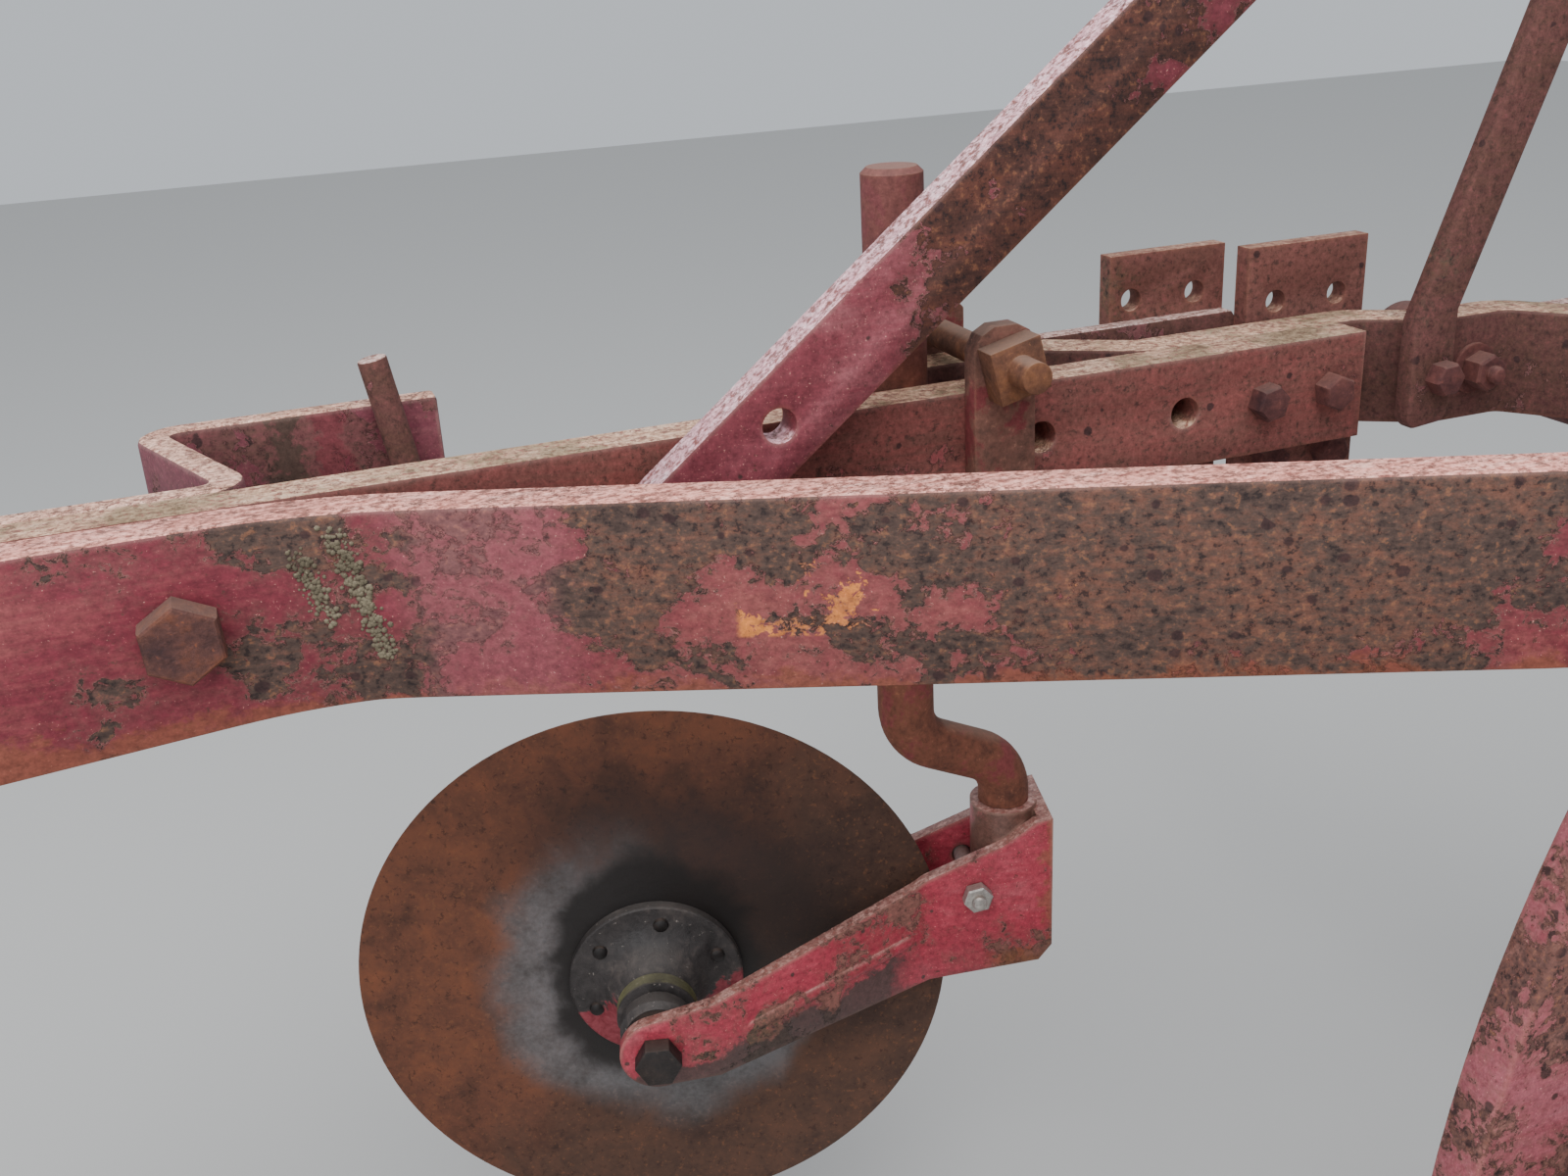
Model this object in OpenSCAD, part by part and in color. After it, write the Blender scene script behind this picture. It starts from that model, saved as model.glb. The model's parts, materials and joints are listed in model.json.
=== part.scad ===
// Two-furrow mounted moldboard plough with disc coulters.
// X points forward, Y to the left, Z up. The shares and landsides stand on z = 0.
// Frame pieces are drawn below the top plane of the beams and lifted to beam_top.

/* [Frame] */
// height of the beams' top edges above the ground
beam_top = 640; // [560:10:740]
// height of the deep beams
beam_h = 90; // [80:5:110]
// thickness of every beam
beam_t = 25; // [20:1:30]
// height of the two lighter beams
light_h = 60; // [50:5:80]
// distance of the front body ahead of the rear one
body_pitch = 830; // [780:10:900]
// angle in plan between the diagonal part of the right beam and the travel
splay = 22.95; // [20:0.05:26]

/* [Coulters] */
// radius of each coulter disc
disc_r = 180; // [165:5:190]
// thickness of each coulter disc
disc_t = 4; // [3:0.5:6]
// radius of the coulter stem
stem_r = 16; // [14:0.5:18]
// radius of the swivel spindle below the crank
spindle_r = 12.5; // [11:0.5:14]
// radial running clearance at the swivel and the hub
run_gap = 0.08; // [0.04:0.01:0.1]
// radius of the axle bolt through the hub
axle_r = 10; // [8:0.5:12]
// swing of the parked coulters from straight ahead, in degrees
park_swing = 15; // [0:1:20]
// distance of the hub behind the swivel axis
trail = 217; // [205:1:230]
// depth of the hub axis below the beams' top plane
hub_drop = 368; // [358:1:385]

/* [Plough bodies] */
// height of the moldboard at its shin
board_h = 340; // [300:5:360]
// thickness of the moldboards
board_t = 8; // [6:1:10]
// thickness of the shares
share_t = 11; // [9:1:13]
// width cut by one share
share_w = 275; // [250:5:300]
// reach of the moldboard's tail to the right of the landside
tail_w = 430; // [390:10:460]
// length of the landside behind the share point
side_l = 560; // [530:10:600]

/* [Hitch] */
// radius of the lower link pins
lower_pin_r = 11; // [11:0.1:14]
// distance between the shoulders of the lower link pins
hitch_span = 683; // [683:1:825]
// radius of the top link hole
top_hole_r = 9.75; // [9.6:0.05:12.9]
// clear width between the mast's ears
ear_gap = 52; // [46:1:56]

/* [Hidden] */
$fn = 64;

// plan position of the frame origin in the part's own frame
shift_x = -317.8;
shift_y = 130.25;

// coulter stations along the beams
stem_x = 310;
front_stem_x = stem_x + body_pitch;

// goose-neck of the right beam and of the front beam
neck_x = -140;
neck_r = 200;
neck_lean = 26;
shank_r = 700;
shank_lean = 7;
throat_r = 90;
throat_back = 20;
throat_lean = 10;
taper_run = 160;
taper_drop = 10;
splay_r = 220;
leg_foot = 80;
leg_w = 100;
point_ahead = 250;
front_neck_x = neck_x + body_pitch;
front_near_y = -275;
right_front_y = front_near_y + 1.5 * beam_t;
bend_x = 3.7;
splay_run = (-beam_t / 2 - right_front_y) / tan(splay);
right_end_x = front_stem_x + 50;
front_end_x = front_stem_x - 72;

// main beam and cross beam
main_back_x = -240;
main_end_x = 575;
cross_back_x = 250;
stem_gap = 2 * stem_r;
cross_bend = 54;
bracket_t = 16;
bolt_hole_r = 8.5;

// coulter stations
stem_y = beam_t + stem_r;
crank_throw = 62;
crank_r = 15;
crank_bend_r = 28;
crank_z = -200;
collar_top = -266;
collar_bottom = -345;
collar_r = 20;
stem_top = 110;
strap_t = 12;
clamp_bolt_r = 8;
clamp_hole_r = 8.2;
high_bolt = 15;
bolt_out = 12;
left_bolt = -46;
right_bolt = 37;
rear_back = 2 * beam_t + stem_gap;
front_stem_y = right_front_y + beam_t / 2 + stem_r;

// hub and yoke
hub_half = 62;
hub_r = 25;
flange_r = 53;
axle_head_r = 13.5;
yoke_t = 8;
arm_half = 75;
web_x = 20;
rib_r = 6;

// bodies: landside plane and share point of each
rear_side_y = beam_t / 2 - 0.5;
point_x = neck_x + point_ahead;
front_side_y = front_near_y + 37;
front_point_x = point_x + body_pitch;

// share and moldboard form: a level line swept up an arc, its angle opening with height
lift_angle = 25;
guide_s = 280;
guide_r = board_h * 1.015;
angle_low = 42;
angle_high = 50;
cols = 18;
rows = 9;

// mast
mast_y = -12;
ear_t = 12;
leg_t = 12;
foot_x = 598;
foot_w = 29;
leg_head_x = 729;
leg_head_z = 345;
right_foot_x = 790;
top_x = 757;
top_z = 392;
brace_t = 20;
brace_w = 45;
brace_lean = 38.7;
brace_mid = 13;
brace_hole_x = 218.5;
brace_foot = -58;
brace_head = 672;

// lower link shaft
shaft_x = 885;
shaft_z = -115;
shaft_r = 22;
crank_arm = 55;
lower_pin_l = 78;

module in_frame() {
  translate([shift_x, shift_y, beam_top])
    children();
}

module on_ground(x, y) {
  translate([shift_x + x, shift_y + y, 0])
    children();
}

// profile in X and Z, extruded from y0 to y0 + t
module side_plate(y0, t) {
  translate([0, y0 + t, 0])
    rotate([90, 0, 0])
      linear_extrude(t)
        children();
}

// pin or bore along Y
module y_rod(x, y0, z, r, l) {
  translate([x, y0 + l, z])
    rotate([90, 0, 0])
      cylinder(r = r, h = l);
}

// offset of one path point to a side, mitred between its neighbours
function unit(v) = v / norm(v);
function left_of(v) = [-v[1], v[0]];
function mitre(p, i, d) =
  let(
    n = len(p),
    a = left_of(unit(p[max(i, 1)] - p[max(i, 1) - 1])),
    b = left_of(unit(p[min(i + 1, n - 1)] - p[min(i + 1, n - 1) - 1])),
    m = unit(a + b)
  )
  p[i] + m * d / (m * a);

// a corner of a path rounded to radius r with k steps
function arc_in(p, q, s, r, k) =
  let(
    u = unit(p - q),
    v = unit(s - q),
    half = acos(u * v) / 2,
    w = unit(u + v),
    c = q + w * r / sin(half),
    a0 = atan2((q + u * r / tan(half) - c)[1], (q + u * r / tan(half) - c)[0]),
    a1 = atan2((q + v * r / tan(half) - c)[1], (q + v * r / tan(half) - c)[0]),
    turn = (a1 - a0 + 540) % 360 - 180
  )
  [for (j = [0 : k]) c + r * [cos(a0 + turn * j / k), sin(a0 + turn * j / k)]];

function rounded(p, r, k = 5) =
  concat(
    [p[0]],
    [for (i = [1 : len(p) - 2]) each arc_in(p[i - 1], p[i], p[i + 1], r, k)],
    [p[len(p) - 1]]
  );

// strip of thickness t that follows a path in plan
module strip(path, t) {
  n = len(path);
  polygon(concat(
    [for (i = [0 : n - 1]) mitre(path, i, t / 2)],
    [for (i = [n - 1 : -1 : 0]) mitre(path, i, -t / 2)]
  ));
}

module plan_bar(path, t, h, top = 0) {
  translate([0, 0, top - h])
    linear_extrude(h)
      strip(path, t);
}

// goose-neck: bar from x_end back to x0, widening, then a tight arc, a wide arc and the leg
module neck_profile(x0, x_end) {
  z_foot = leg_foot - beam_top;
  throat = [x0 - throat_back, -beam_h - taper_drop - throat_r];
  function around(c, r, a) = [c[0] + r * cos(a), c[1] + r * sin(a)];
  crown = [x0, -neck_r];
  joined = around(crown, neck_r, 180 - neck_lean);
  shank = around(joined, -shank_r, 180 - neck_lean);
  heel = around(shank, shank_r, 180 - shank_lean);
  foot_back = [heel[0] + (z_foot - heel[1]) * tan(shank_lean), z_foot];
  polygon(concat(
    [[x_end, 0]],
    [for (a = [90 : 4 : 177 - neck_lean]) around(crown, neck_r, a)],
    [for (a = [180 - neck_lean : 2 : 179 - shank_lean]) around(shank, shank_r, a)],
    [heel, foot_back, [foot_back[0] + leg_w, z_foot]],
    [for (a = [180 - throat_lean : -8 : 90]) around(throat, throat_r, a)],
    [[x0, -beam_h - taper_drop]],
    x_end - x0 < taper_run
      ? [[x_end, (x_end - x0) * taper_drop / taper_run - beam_h - taper_drop]]
      : [[x0 + taper_run, -beam_h], [x_end, -beam_h]]
  ));
}

// right beam: goose-neck of the rear body, then level, splayed out and level again
module right_beam() {
  deep = beam_h + taper_drop;
  color([0.45, 0.1, 0.13])
    in_frame()
      union() {
        side_plate(-beam_t, beam_t)
          neck_profile(neck_x, neck_x + 1);
        difference() {
          plan_bar(rounded([
            [neck_x + 1, -beam_t / 2],
            [bend_x, -beam_t / 2],
            [bend_x + splay_run, right_front_y],
            [right_end_x, right_front_y]
          ], splay_r, 9), beam_t, deep);
          side_plate(right_front_y - beam_t, beam_t - right_front_y + beam_t)
            polygon([
              [neck_x - 5, -deep - 5], [neck_x, -deep], [neck_x + taper_run, -beam_h],
              [right_end_x + 5, -beam_h], [right_end_x + 5, -deep - 5]
            ]);
        }
      }
}

// main beam, flat against the right beam at the back
module main_beam() {
  color([0.45, 0.12, 0.14])
    in_frame()
      difference() {
        translate([main_back_x, 0, -light_h])
          cube([main_end_x - main_back_x, beam_t, light_h]);
        for (x = [373, 460])
          y_rod(x, -1, -30, bolt_hole_r, beam_t + 2);
      }
}

// front beam with the goose-neck of the front body
module front_beam() {
  color([0.5, 0.11, 0.16])
    in_frame()
      side_plate(front_near_y, beam_t)
        neck_profile(front_neck_x, front_end_x);
}

// cross beam: outside the coulter stem, against the main beam, then across to the right beam
module cross_beam() {
  side = beam_t + stem_gap + beam_t / 2;
  touch = beam_t * 1.5;
  line = beam_t / 2;
  far_y = right_front_y + beam_t;
  color([0.47, 0.12, 0.14])
    in_frame()
      difference() {
        plan_bar(rounded([
          [cross_back_x, side],
          [408, side],
          [455, touch],
          [592, touch],
          [628, line],
          [678, line],
          [678 + (line - far_y) / tan(cross_bend), far_y],
          [front_stem_x - 30, far_y]
        ], 20, 4), beam_t, light_h);
        y_rod(460, beam_t - 1, -30, bolt_hole_r, beam_t + 2);
      }
}

// arm that carries the left bearing of the lower link shaft
module hitch_arm() {
  color([0.42, 0.12, 0.13])
    in_frame()
      side_plate(82, ear_t)
        polygon([
          [395, 0], [545, 0], [562, -27], [shaft_x - 45, -27], [shaft_x + 43, -80],
          [shaft_x + 43, -92], [shaft_x - 43, -92], [shaft_x - 85, -85], [395, -60]
        ]);
}

// upright clamp plates with two bolt holes at each end
module clamp_plate(x0, y0, w, hole_x, hole_z) {
  color([0.42, 0.17, 0.14])
    in_frame()
      difference() {
        translate([x0, y0, -112])
          cube([w, ear_t, 150]);
        for (dx = [0, 43])
          y_rod(hole_x + dx, y0 - 1, hole_z, 6.5, ear_t + 2);
      }
}

module clamp_plate_rear() {
  clamp_plate(469, 94, 77, 483, 11.5);
}

module clamp_plate_front() {
  clamp_plate(546, 70, 83, 566, 5);
}

// edges of the leaning brace: height at a given x, and the point at a given height
function brace_line(x, s) = brace_mid + (x - 225) * tan(brace_lean) + s * brace_w / 2 / cos(brace_lean);
function brace_pt(z, s) = [225 + (z - brace_line(225, s)) / tan(brace_lean), z];

// brace from the main beam up to the mast head
module rear_brace() {
  color([0.47, 0.11, 0.14])
    in_frame()
      difference() {
        side_plate(mast_y - brace_t, brace_t)
          polygon([
            brace_pt(brace_foot, 1), brace_pt(brace_foot, -1),
            [brace_head, brace_line(brace_head, -1)], [brace_head, brace_line(brace_head, 1)]
          ]);
        y_rod(brace_hole_x, mast_y - brace_t - 1, brace_line(brace_hole_x, 0), bolt_hole_r, brace_t + 2);
      }
}

// packer between the brace's foot and the main beam
module brace_packer() {
  color([0.4, 0.12, 0.13])
    in_frame()
      translate([118, mast_y, brace_foot])
        cube([56, -mast_y, 32]);
}

// left leg of the mast: upright foot, then leaning forward
module mast_leg_left() {
  color([0.45, 0.11, 0.14])
    in_frame()
      side_plate(-leg_t, leg_t)
        polygon([
          [foot_x + 5, -58], [foot_x + foot_w - 4, -56], [foot_x + foot_w, -50], [foot_x + foot_w, 8],
          [leg_head_x + foot_w + 2, leg_head_z], [leg_head_x, leg_head_z],
          [foot_x, 4], [foot_x, -52]
        ]);
}

// right leg of the mast, from the right beam to the right ear
module mast_leg_right() {
  foot = [right_foot_x, right_front_y + beam_t / 2 + 6, -80];
  head = [722, mast_y - ear_gap / 2 - ear_t - 8, leg_head_z];
  span = head - foot;
  color([0.45, 0.11, 0.14])
    in_frame()
      multmatrix([
        [1, 0, span[0] / span[2], foot[0] - 25],
        [0, 1, span[1] / span[2], foot[1] - 6],
        [0, 0, 1, foot[2]]
      ])
        cube([50, 12, span[2]]);
}

module ear_profile() {
  difference() {
    polygon([
      [top_x - 22, top_z + 23], [top_x + 3, top_z + 31], [top_x + 26, top_z + 20],
      [top_x + 32, top_z - 4], [top_x + 22, top_z - 26], [757, 318], [748, 299], [732, 292],
      [640, 322], [624, 334], [620, 357], [630, 373]
    ]);
    translate([top_x, top_z])
      circle(top_hole_r);
  }
}

module mast_ear_left() {
  color([0.4, 0.1, 0.12])
    in_frame()
      side_plate(mast_y + ear_gap / 2, ear_t)
        ear_profile();
}

module mast_ear_right() {
  color([0.4, 0.1, 0.12])
    in_frame()
      side_plate(mast_y - ear_gap / 2 - ear_t, ear_t)
        ear_profile();
}

// distance sleeves beside the brace and the leg at the mast head
module mast_spacers() {
  left = mast_y + ear_gap / 2;
  right = mast_y - ear_gap / 2;
  // each row: x, z, start and length of the sleeve
  sleeves = [
    [648, 350, mast_y, left - mast_y],
    [648, 350, right, mast_y - brace_t - right],
    [735, 320, 0, left],
    [735, 320, right, -leg_t - right]
  ];
  color([0.35, 0.2, 0.15])
    in_frame()
      for (s = sleeves)
        y_rod(s[0], s[2], s[1], 15, s[3]);
}

// lower link shaft with a crank arm and a pin at each end
module cross_shaft() {
  half = hitch_span / 2;
  arm_t = 18;
  color([0.3, 0.2, 0.17])
    in_frame()
      difference() {
        union() {
          y_rod(shaft_x, mast_y - half, shaft_z, shaft_r, hitch_span);
          for (s = [-1, 1])
            translate([0, mast_y, 0])
              mirror([0, s < 0 ? 1 : 0, 0])
                translate([shaft_x, half - arm_t, shaft_z])
                  rotate([0, s < 0 ? -30 : 30, 0]) {
                    translate([0, 0, 0])
                      y_rod(0, 0, 0, 34, arm_t);
                    translate([0, 0, -27])
                      cube([crank_arm, arm_t, 54]);
                    y_rod(crank_arm, 0, 0, 27, arm_t);
                    y_rod(crank_arm, 0, 0, lower_pin_r, arm_t + lower_pin_l);
                  }
        }
        for (s = [-1, 1])
          translate([0, mast_y, 0])
            mirror([0, s < 0 ? 1 : 0, 0])
              translate([shaft_x, half, shaft_z])
                rotate([0, s < 0 ? -30 : 30, 0])
                  translate([crank_arm, lower_pin_l - 14, -20])
                    cylinder(r = 5.5, h = 40);
      }
}

// hanging bearing of the lower link shaft
module shaft_bearing(y0, t, top) {
  color([0.42, 0.11, 0.13])
    in_frame()
      difference() {
        union() {
          side_plate(y0, t)
            polygon([
              [shaft_x - 45, top], [shaft_x + 45, top], [shaft_x + 45, -70],
              [shaft_x + 36, shaft_z], [shaft_x - 36, shaft_z], [shaft_x - 45, -70]
            ]);
          y_rod(shaft_x, y0, shaft_z, 36, t);
        }
        y_rod(shaft_x, y0 - 1, shaft_z, shaft_r + 0.1, t + 2);
      }
}

module shaft_bracket_left() {
  shaft_bearing(94, 14, -30);
}

module shaft_bracket_right() {
  shaft_bearing(front_near_y - 14, 14, -8);
}

// bent bracket behind the main beam: hairpin, outer corner and forward arm
module rear_bracket() {
  color([0.42, 0.11, 0.13])
    in_frame()
      plan_bar(rounded([
        [main_back_x, beam_t + bracket_t / 2],
        [-22, beam_t + bracket_t / 2],
        [-66, 150],
        [84, 150]
      ], 13, 6), bracket_t, light_h);
}

module bracket_doubler() {
  color([0.42, 0.14, 0.13])
    in_frame()
      translate([18, 150 + bracket_t / 2, -52])
        cube([66, 8, 48]);
}

// leaning round pin on the bracket's inner face
module bracket_pin() {
  color([0.45, 0.15, 0.13])
    in_frame()
      translate([70, 142 - bracket_t / 2, -84])
        rotate([0, -9, 0])
          cylinder(r = 7.8, h = 112);
}

// coulter clamp: a long and a short strap in front of the beam, one stepped jaw plate behind
module coulter_clamp(bar_h, back) {
  low = -bar_h - 42;
  low_bolt = -bar_h - bolt_out;
  union() {
    difference() {
      side_plate(-strap_t, strap_t)
        polygon([
          [right_bolt - 18, low], [right_bolt + 16, low], [right_bolt + 16, 25],
          [right_bolt + 13, 31], [right_bolt + 6, 35], [right_bolt - 7, 35],
          [right_bolt - 14, 31], [right_bolt - 18, 23]
        ]);
      for (z = [high_bolt, low_bolt])
        y_rod(right_bolt, -strap_t - 1, z, clamp_hole_r, strap_t + 2);
    }
    difference() {
      side_plate(-strap_t, strap_t)
        polygon([
          [left_bolt - 21, low], [left_bolt + 21, low],
          [left_bolt + 21, 20 - bar_h], [left_bolt - 21, 20 - bar_h]
        ]);
      y_rod(left_bolt, -strap_t - 1, low_bolt, clamp_hole_r, strap_t + 2);
    }
    difference() {
      side_plate(back, strap_t)
        polygon([
          [left_bolt - 20, low], [right_bolt + 22, low], [right_bolt + 22, 24],
          [right_bolt + 14, 32], [right_bolt - 14, 32], [right_bolt - 20, 24],
          [right_bolt - 26, -8], [left_bolt - 12, -8], [left_bolt - 20, -16]
        ]);
      for (x = [left_bolt, right_bolt])
        y_rod(x, back - 1, low_bolt, clamp_hole_r, strap_t + 2);
      y_rod(right_bolt, back - 1, high_bolt, clamp_hole_r, strap_t + 2);
    }
  }
}

// the clamp's three bolts with square nuts
module clamp_bolts(bar_h, back) {
  nut = 28;
  bolts = [[left_bolt, -bar_h - bolt_out], [right_bolt, high_bolt], [right_bolt, -bar_h - bolt_out]];
  for (b = bolts) {
    y_rod(b[0], -strap_t - 32, b[1], clamp_bolt_r, back + 2 * strap_t + 37);
    translate([b[0], -strap_t - 15.2, b[1]])
      rotate([0, -14, 0])
        translate([-nut / 2, 0, -nut / 2])
          cube([nut, 15, nut]);
    translate([b[0] - 13, back + strap_t + 0.2, b[1] - 13])
      cube([26, 11, 26]);
  }
}

module rear_clamp() {
  color([0.4, 0.2, 0.14])
    in_frame()
      translate([stem_x, 0, 0])
        coulter_clamp(light_h, rear_back);
}

module rear_clamp_bolts() {
  color([0.35, 0.2, 0.13])
    in_frame()
      translate([stem_x, 0, 0])
        clamp_bolts(light_h, rear_back);
}

module front_clamp() {
  color([0.4, 0.2, 0.14])
    in_frame()
      translate([front_stem_x, right_front_y - beam_t / 2, 0])
        coulter_clamp(beam_h, beam_t + stem_gap);
}

module front_clamp_bolts() {
  color([0.35, 0.2, 0.13])
    in_frame()
      translate([front_stem_x, right_front_y - beam_t / 2, 0])
        clamp_bolts(beam_h, beam_t + stem_gap);
}

// cranked round stem: upright, S-bend forward, spindle with a keeper below
module stem() {
  mid = crank_throw - 2 * crank_bend_r;
  bend = crank_bend_r;
  union() {
    translate([0, 0, crank_z])
      cylinder(r = stem_r, h = stem_top - crank_z - 3);
    translate([0, 0, stem_top - 3])
      cylinder(r1 = stem_r, r2 = stem_r - 3, h = 3);
    translate([bend, 0, crank_z])
      rotate([90, 0, 180])
        rotate_extrude(angle = -90)
          translate([bend, 0])
            circle(crank_r);
    translate([bend, 0, crank_z - bend])
      rotate([0, 90, 0])
        cylinder(r = crank_r, h = mid);
    translate([bend + mid, 0, crank_z - 2 * bend])
      rotate([90, 0, 0])
        rotate_extrude(angle = 90)
          translate([bend, 0])
            circle(crank_r);
    translate([crank_throw, 0, collar_top + 0.4])
      cylinder(r = crank_r, h = crank_z - 2 * bend - collar_top - 0.4);
    translate([crank_throw, 0, collar_bottom - 14])
      cylinder(r = spindle_r, h = collar_top - collar_bottom + 14.4);
    translate([crank_throw, 0, collar_bottom - 10.4])
      cylinder(r = spindle_r + 2.5, h = 10);
  }
}

module rear_stem() {
  color([0.4, 0.14, 0.13])
    in_frame()
      translate([stem_x, stem_y, 0])
        stem();
}

module front_stem() {
  color([0.4, 0.14, 0.13])
    in_frame()
      translate([front_stem_x, front_stem_y, 0])
        stem();
}

// places a coulter's swivelling pieces: origin on the swivel axis, parked swing applied
module swung(x, y) {
  in_frame()
    translate([x + crank_throw, y, 0])
      rotate([0, 0, -park_swing])
        children();
}

// pressed rib along a yoke arm, from a to b
module yoke_rib(a, b) {
  d = b - a;
  translate(a)
    rotate([0, acos(d[2] / norm(d)), atan2(d[1], d[0])]) {
      translate([0, 0, -14])
        cylinder(r1 = 1, r2 = rib_r, h = 14);
      cylinder(r = rib_r, h = norm(d));
      translate([0, 0, norm(d)])
        cylinder(r1 = rib_r, r2 = 1, h = 14);
    }
}

// yoke bent from one strip round the collar, tapering to the axle eyes
module yoke() {
  near = collar_r + yoke_t / 2 - 1;
  difference() {
    union() {
      intersection() {
        plan_bar([
          [-trail - 26, -arm_half], [-trail + 34, -arm_half], [-52, -near], [web_x, -near],
          [web_x, near], [-52, near], [-trail + 34, arm_half], [-trail - 26, arm_half]
        ], yoke_t, 160, -250);
        union() {
          side_plate(-100, 200)
            polygon([
              [web_x + 10, -267], [web_x + 10, -348], [web_x - 4, -366], [-24, -370],
              [-trail - 3, -hub_drop - 21.8], [-trail - 4, -hub_drop + 21.6], [-60, -306],
              [-6, -284], [web_x - 6, -270]
            ]);
          y_rod(-trail, -100, -hub_drop, 22, 200);
        }
      }
      translate([0, 0, collar_bottom])
        cylinder(r = collar_r, h = collar_top - collar_bottom);
      for (s = [-1, 1])
        yoke_rib([-66, s * (near + 14 * (arm_half - near) / (trail - 86)), -341],
                 [-163, s * (near + 111 * (arm_half - near) / (trail - 86)), -361]);
    }
    translate([0, 0, collar_bottom - 1])
      cylinder(r = spindle_r + run_gap, h = collar_top - collar_bottom + 2);
    y_rod(-trail, -100, -hub_drop, axle_r + 0.2, 200);
    y_rod(-22, -40, -315, 6.2, 80);
  }
}

module rear_yoke() {
  color([0.55, 0.08, 0.13])
    swung(stem_x, stem_y)
      yoke();
}

module front_yoke() {
  color([0.55, 0.08, 0.13])
    swung(front_stem_x, front_stem_y)
      yoke();
}

// axle bolt with head, nut and end washers
module axle() {
  out = arm_half + yoke_t / 2;
  inside = arm_half - yoke_t / 2;
  y_rod(-trail, -out - 1, -hub_drop, axle_r, 2 * out + 16);
  translate([-trail, -out - 0.2, -hub_drop])
    rotate([90, 0, 0])
      cylinder(r = axle_head_r, h = 11, $fn = 6);
  translate([-trail, out + 11.2, -hub_drop])
    rotate([90, 0, 0])
      cylinder(r = axle_head_r, h = 11, $fn = 6);
  for (y = [-inside + 0.2, hub_half + 0.4])
    y_rod(-trail, y, -hub_drop, 19, inside - hub_half - 0.6);
}

module rear_axle() {
  color([0.25, 0.17, 0.14])
    swung(stem_x, stem_y)
      axle();
}

module front_axle() {
  color([0.25, 0.17, 0.14])
    swung(front_stem_x, front_stem_y)
      axle();
}

// turned hub with ring bands and a riveted flange on each side of the disc
module hub() {
  half_t = disc_t / 2;
  // each row: distance from the disc's middle, radius
  steps = [
    [hub_half, hub_r - 6], [hub_half - 4, hub_r - 3], [hub_half - 12, hub_r - 3],
    [hub_half - 13, hub_r - 6], [hub_half - 17, hub_r - 6], [hub_half - 18, hub_r - 1],
    [hub_half - 28, hub_r - 1], [hub_half - 29, hub_r - 4], [hub_half - 33, hub_r - 4],
    [24, hub_r], [14, hub_r + 6], [half_t + 7, hub_r + 15], [half_t + 7, flange_r - 1],
    [half_t + 6, flange_r], [half_t, flange_r]
  ];
  translate([-trail, 0, -hub_drop])
    rotate([90, 0, 0])
      rotate_extrude()
        polygon(concat(
          [[axle_r + run_gap, hub_half]],
          [for (s = steps) [s[1], s[0]]],
          [[hub_r - 2, half_t], [hub_r - 2, -half_t]],
          [for (i = [len(steps) - 1 : -1 : 0]) [steps[i][1], -steps[i][0]]],
          [[axle_r + run_gap, -hub_half]]
        ));
}

module rear_hub() {
  color([0.4, 0.08, 0.1])
    swung(stem_x, stem_y)
      hub();
}

module front_hub() {
  color([0.4, 0.08, 0.1])
    swung(front_stem_x, front_stem_y)
      hub();
}

// disc with a ground edge
module disc() {
  translate([-trail, 0, -hub_drop])
    rotate([90, 0, 0])
      rotate_extrude($fn = 128)
        polygon([
          [hub_r - 1.8, -disc_t / 2], [disc_r - 16, -disc_t / 2], [disc_r, -0.5],
          [disc_r, 0.5], [disc_r - 16, disc_t / 2], [hub_r - 1.8, disc_t / 2]
        ]);
}

module rear_disc() {
  color([0.36, 0.2, 0.13])
    swung(stem_x, stem_y)
      disc();
}

module front_disc() {
  color([0.36, 0.2, 0.13])
    swung(front_stem_x, front_stem_y)
      disc();
}

// working surface: x at height z and distance w to the right of the landside
function arc_at(z) = acos(cos(lift_angle) - z / guide_r);
function set_back(z) = guide_r * (sin(arc_at(z)) - sin(lift_angle));
function open_angle(z) = angle_low + (angle_high - angle_low) * pow(max(z, 0) / board_h, 1.6);
function guide_pt(z) = [
  -guide_s * cos(angle_low) - set_back(z) * sin(angle_low),
  -guide_s * sin(angle_low) + set_back(z) * cos(angle_low)
];
function face_x(z, w) = guide_pt(z)[0] + (-w - guide_pt(z)[1]) / tan(open_angle(z));
function face_pt(z, w) = [face_x(z, w), -w, z];
function back_dir(z, w) =
  let(
    du = face_pt(z, w + 1) - face_pt(z, w - 1),
    dv = face_pt(z + 1, w) - face_pt(z - 1, w)
  )
  unit(cross(du, dv));
function back_pt(z, w, t) = face_pt(z, w) + t * back_dir(z, w);
// x of the back face at the same height and width, with a small seat gap
function back_x(z, w, t) = face_x(z, w) - t / abs(back_dir(z, w)[0]) - 0.5;

// upper edge of the share and outline of the moldboard, by distance from the landside
function share_top(w) = 96 - 26 * w / share_w;
function board_low(w) = w < share_w ? share_top(w) + 0.6 : share_top(share_w) + 0.6 + (w - share_w) * 0.5;
function board_high(w) =
  board_h + 14 * sin(min(w, 200) * 0.9)
  - (w > 200 ? 130 * pow((w - 200) / (tail_w - 200), 2) : 0);

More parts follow.
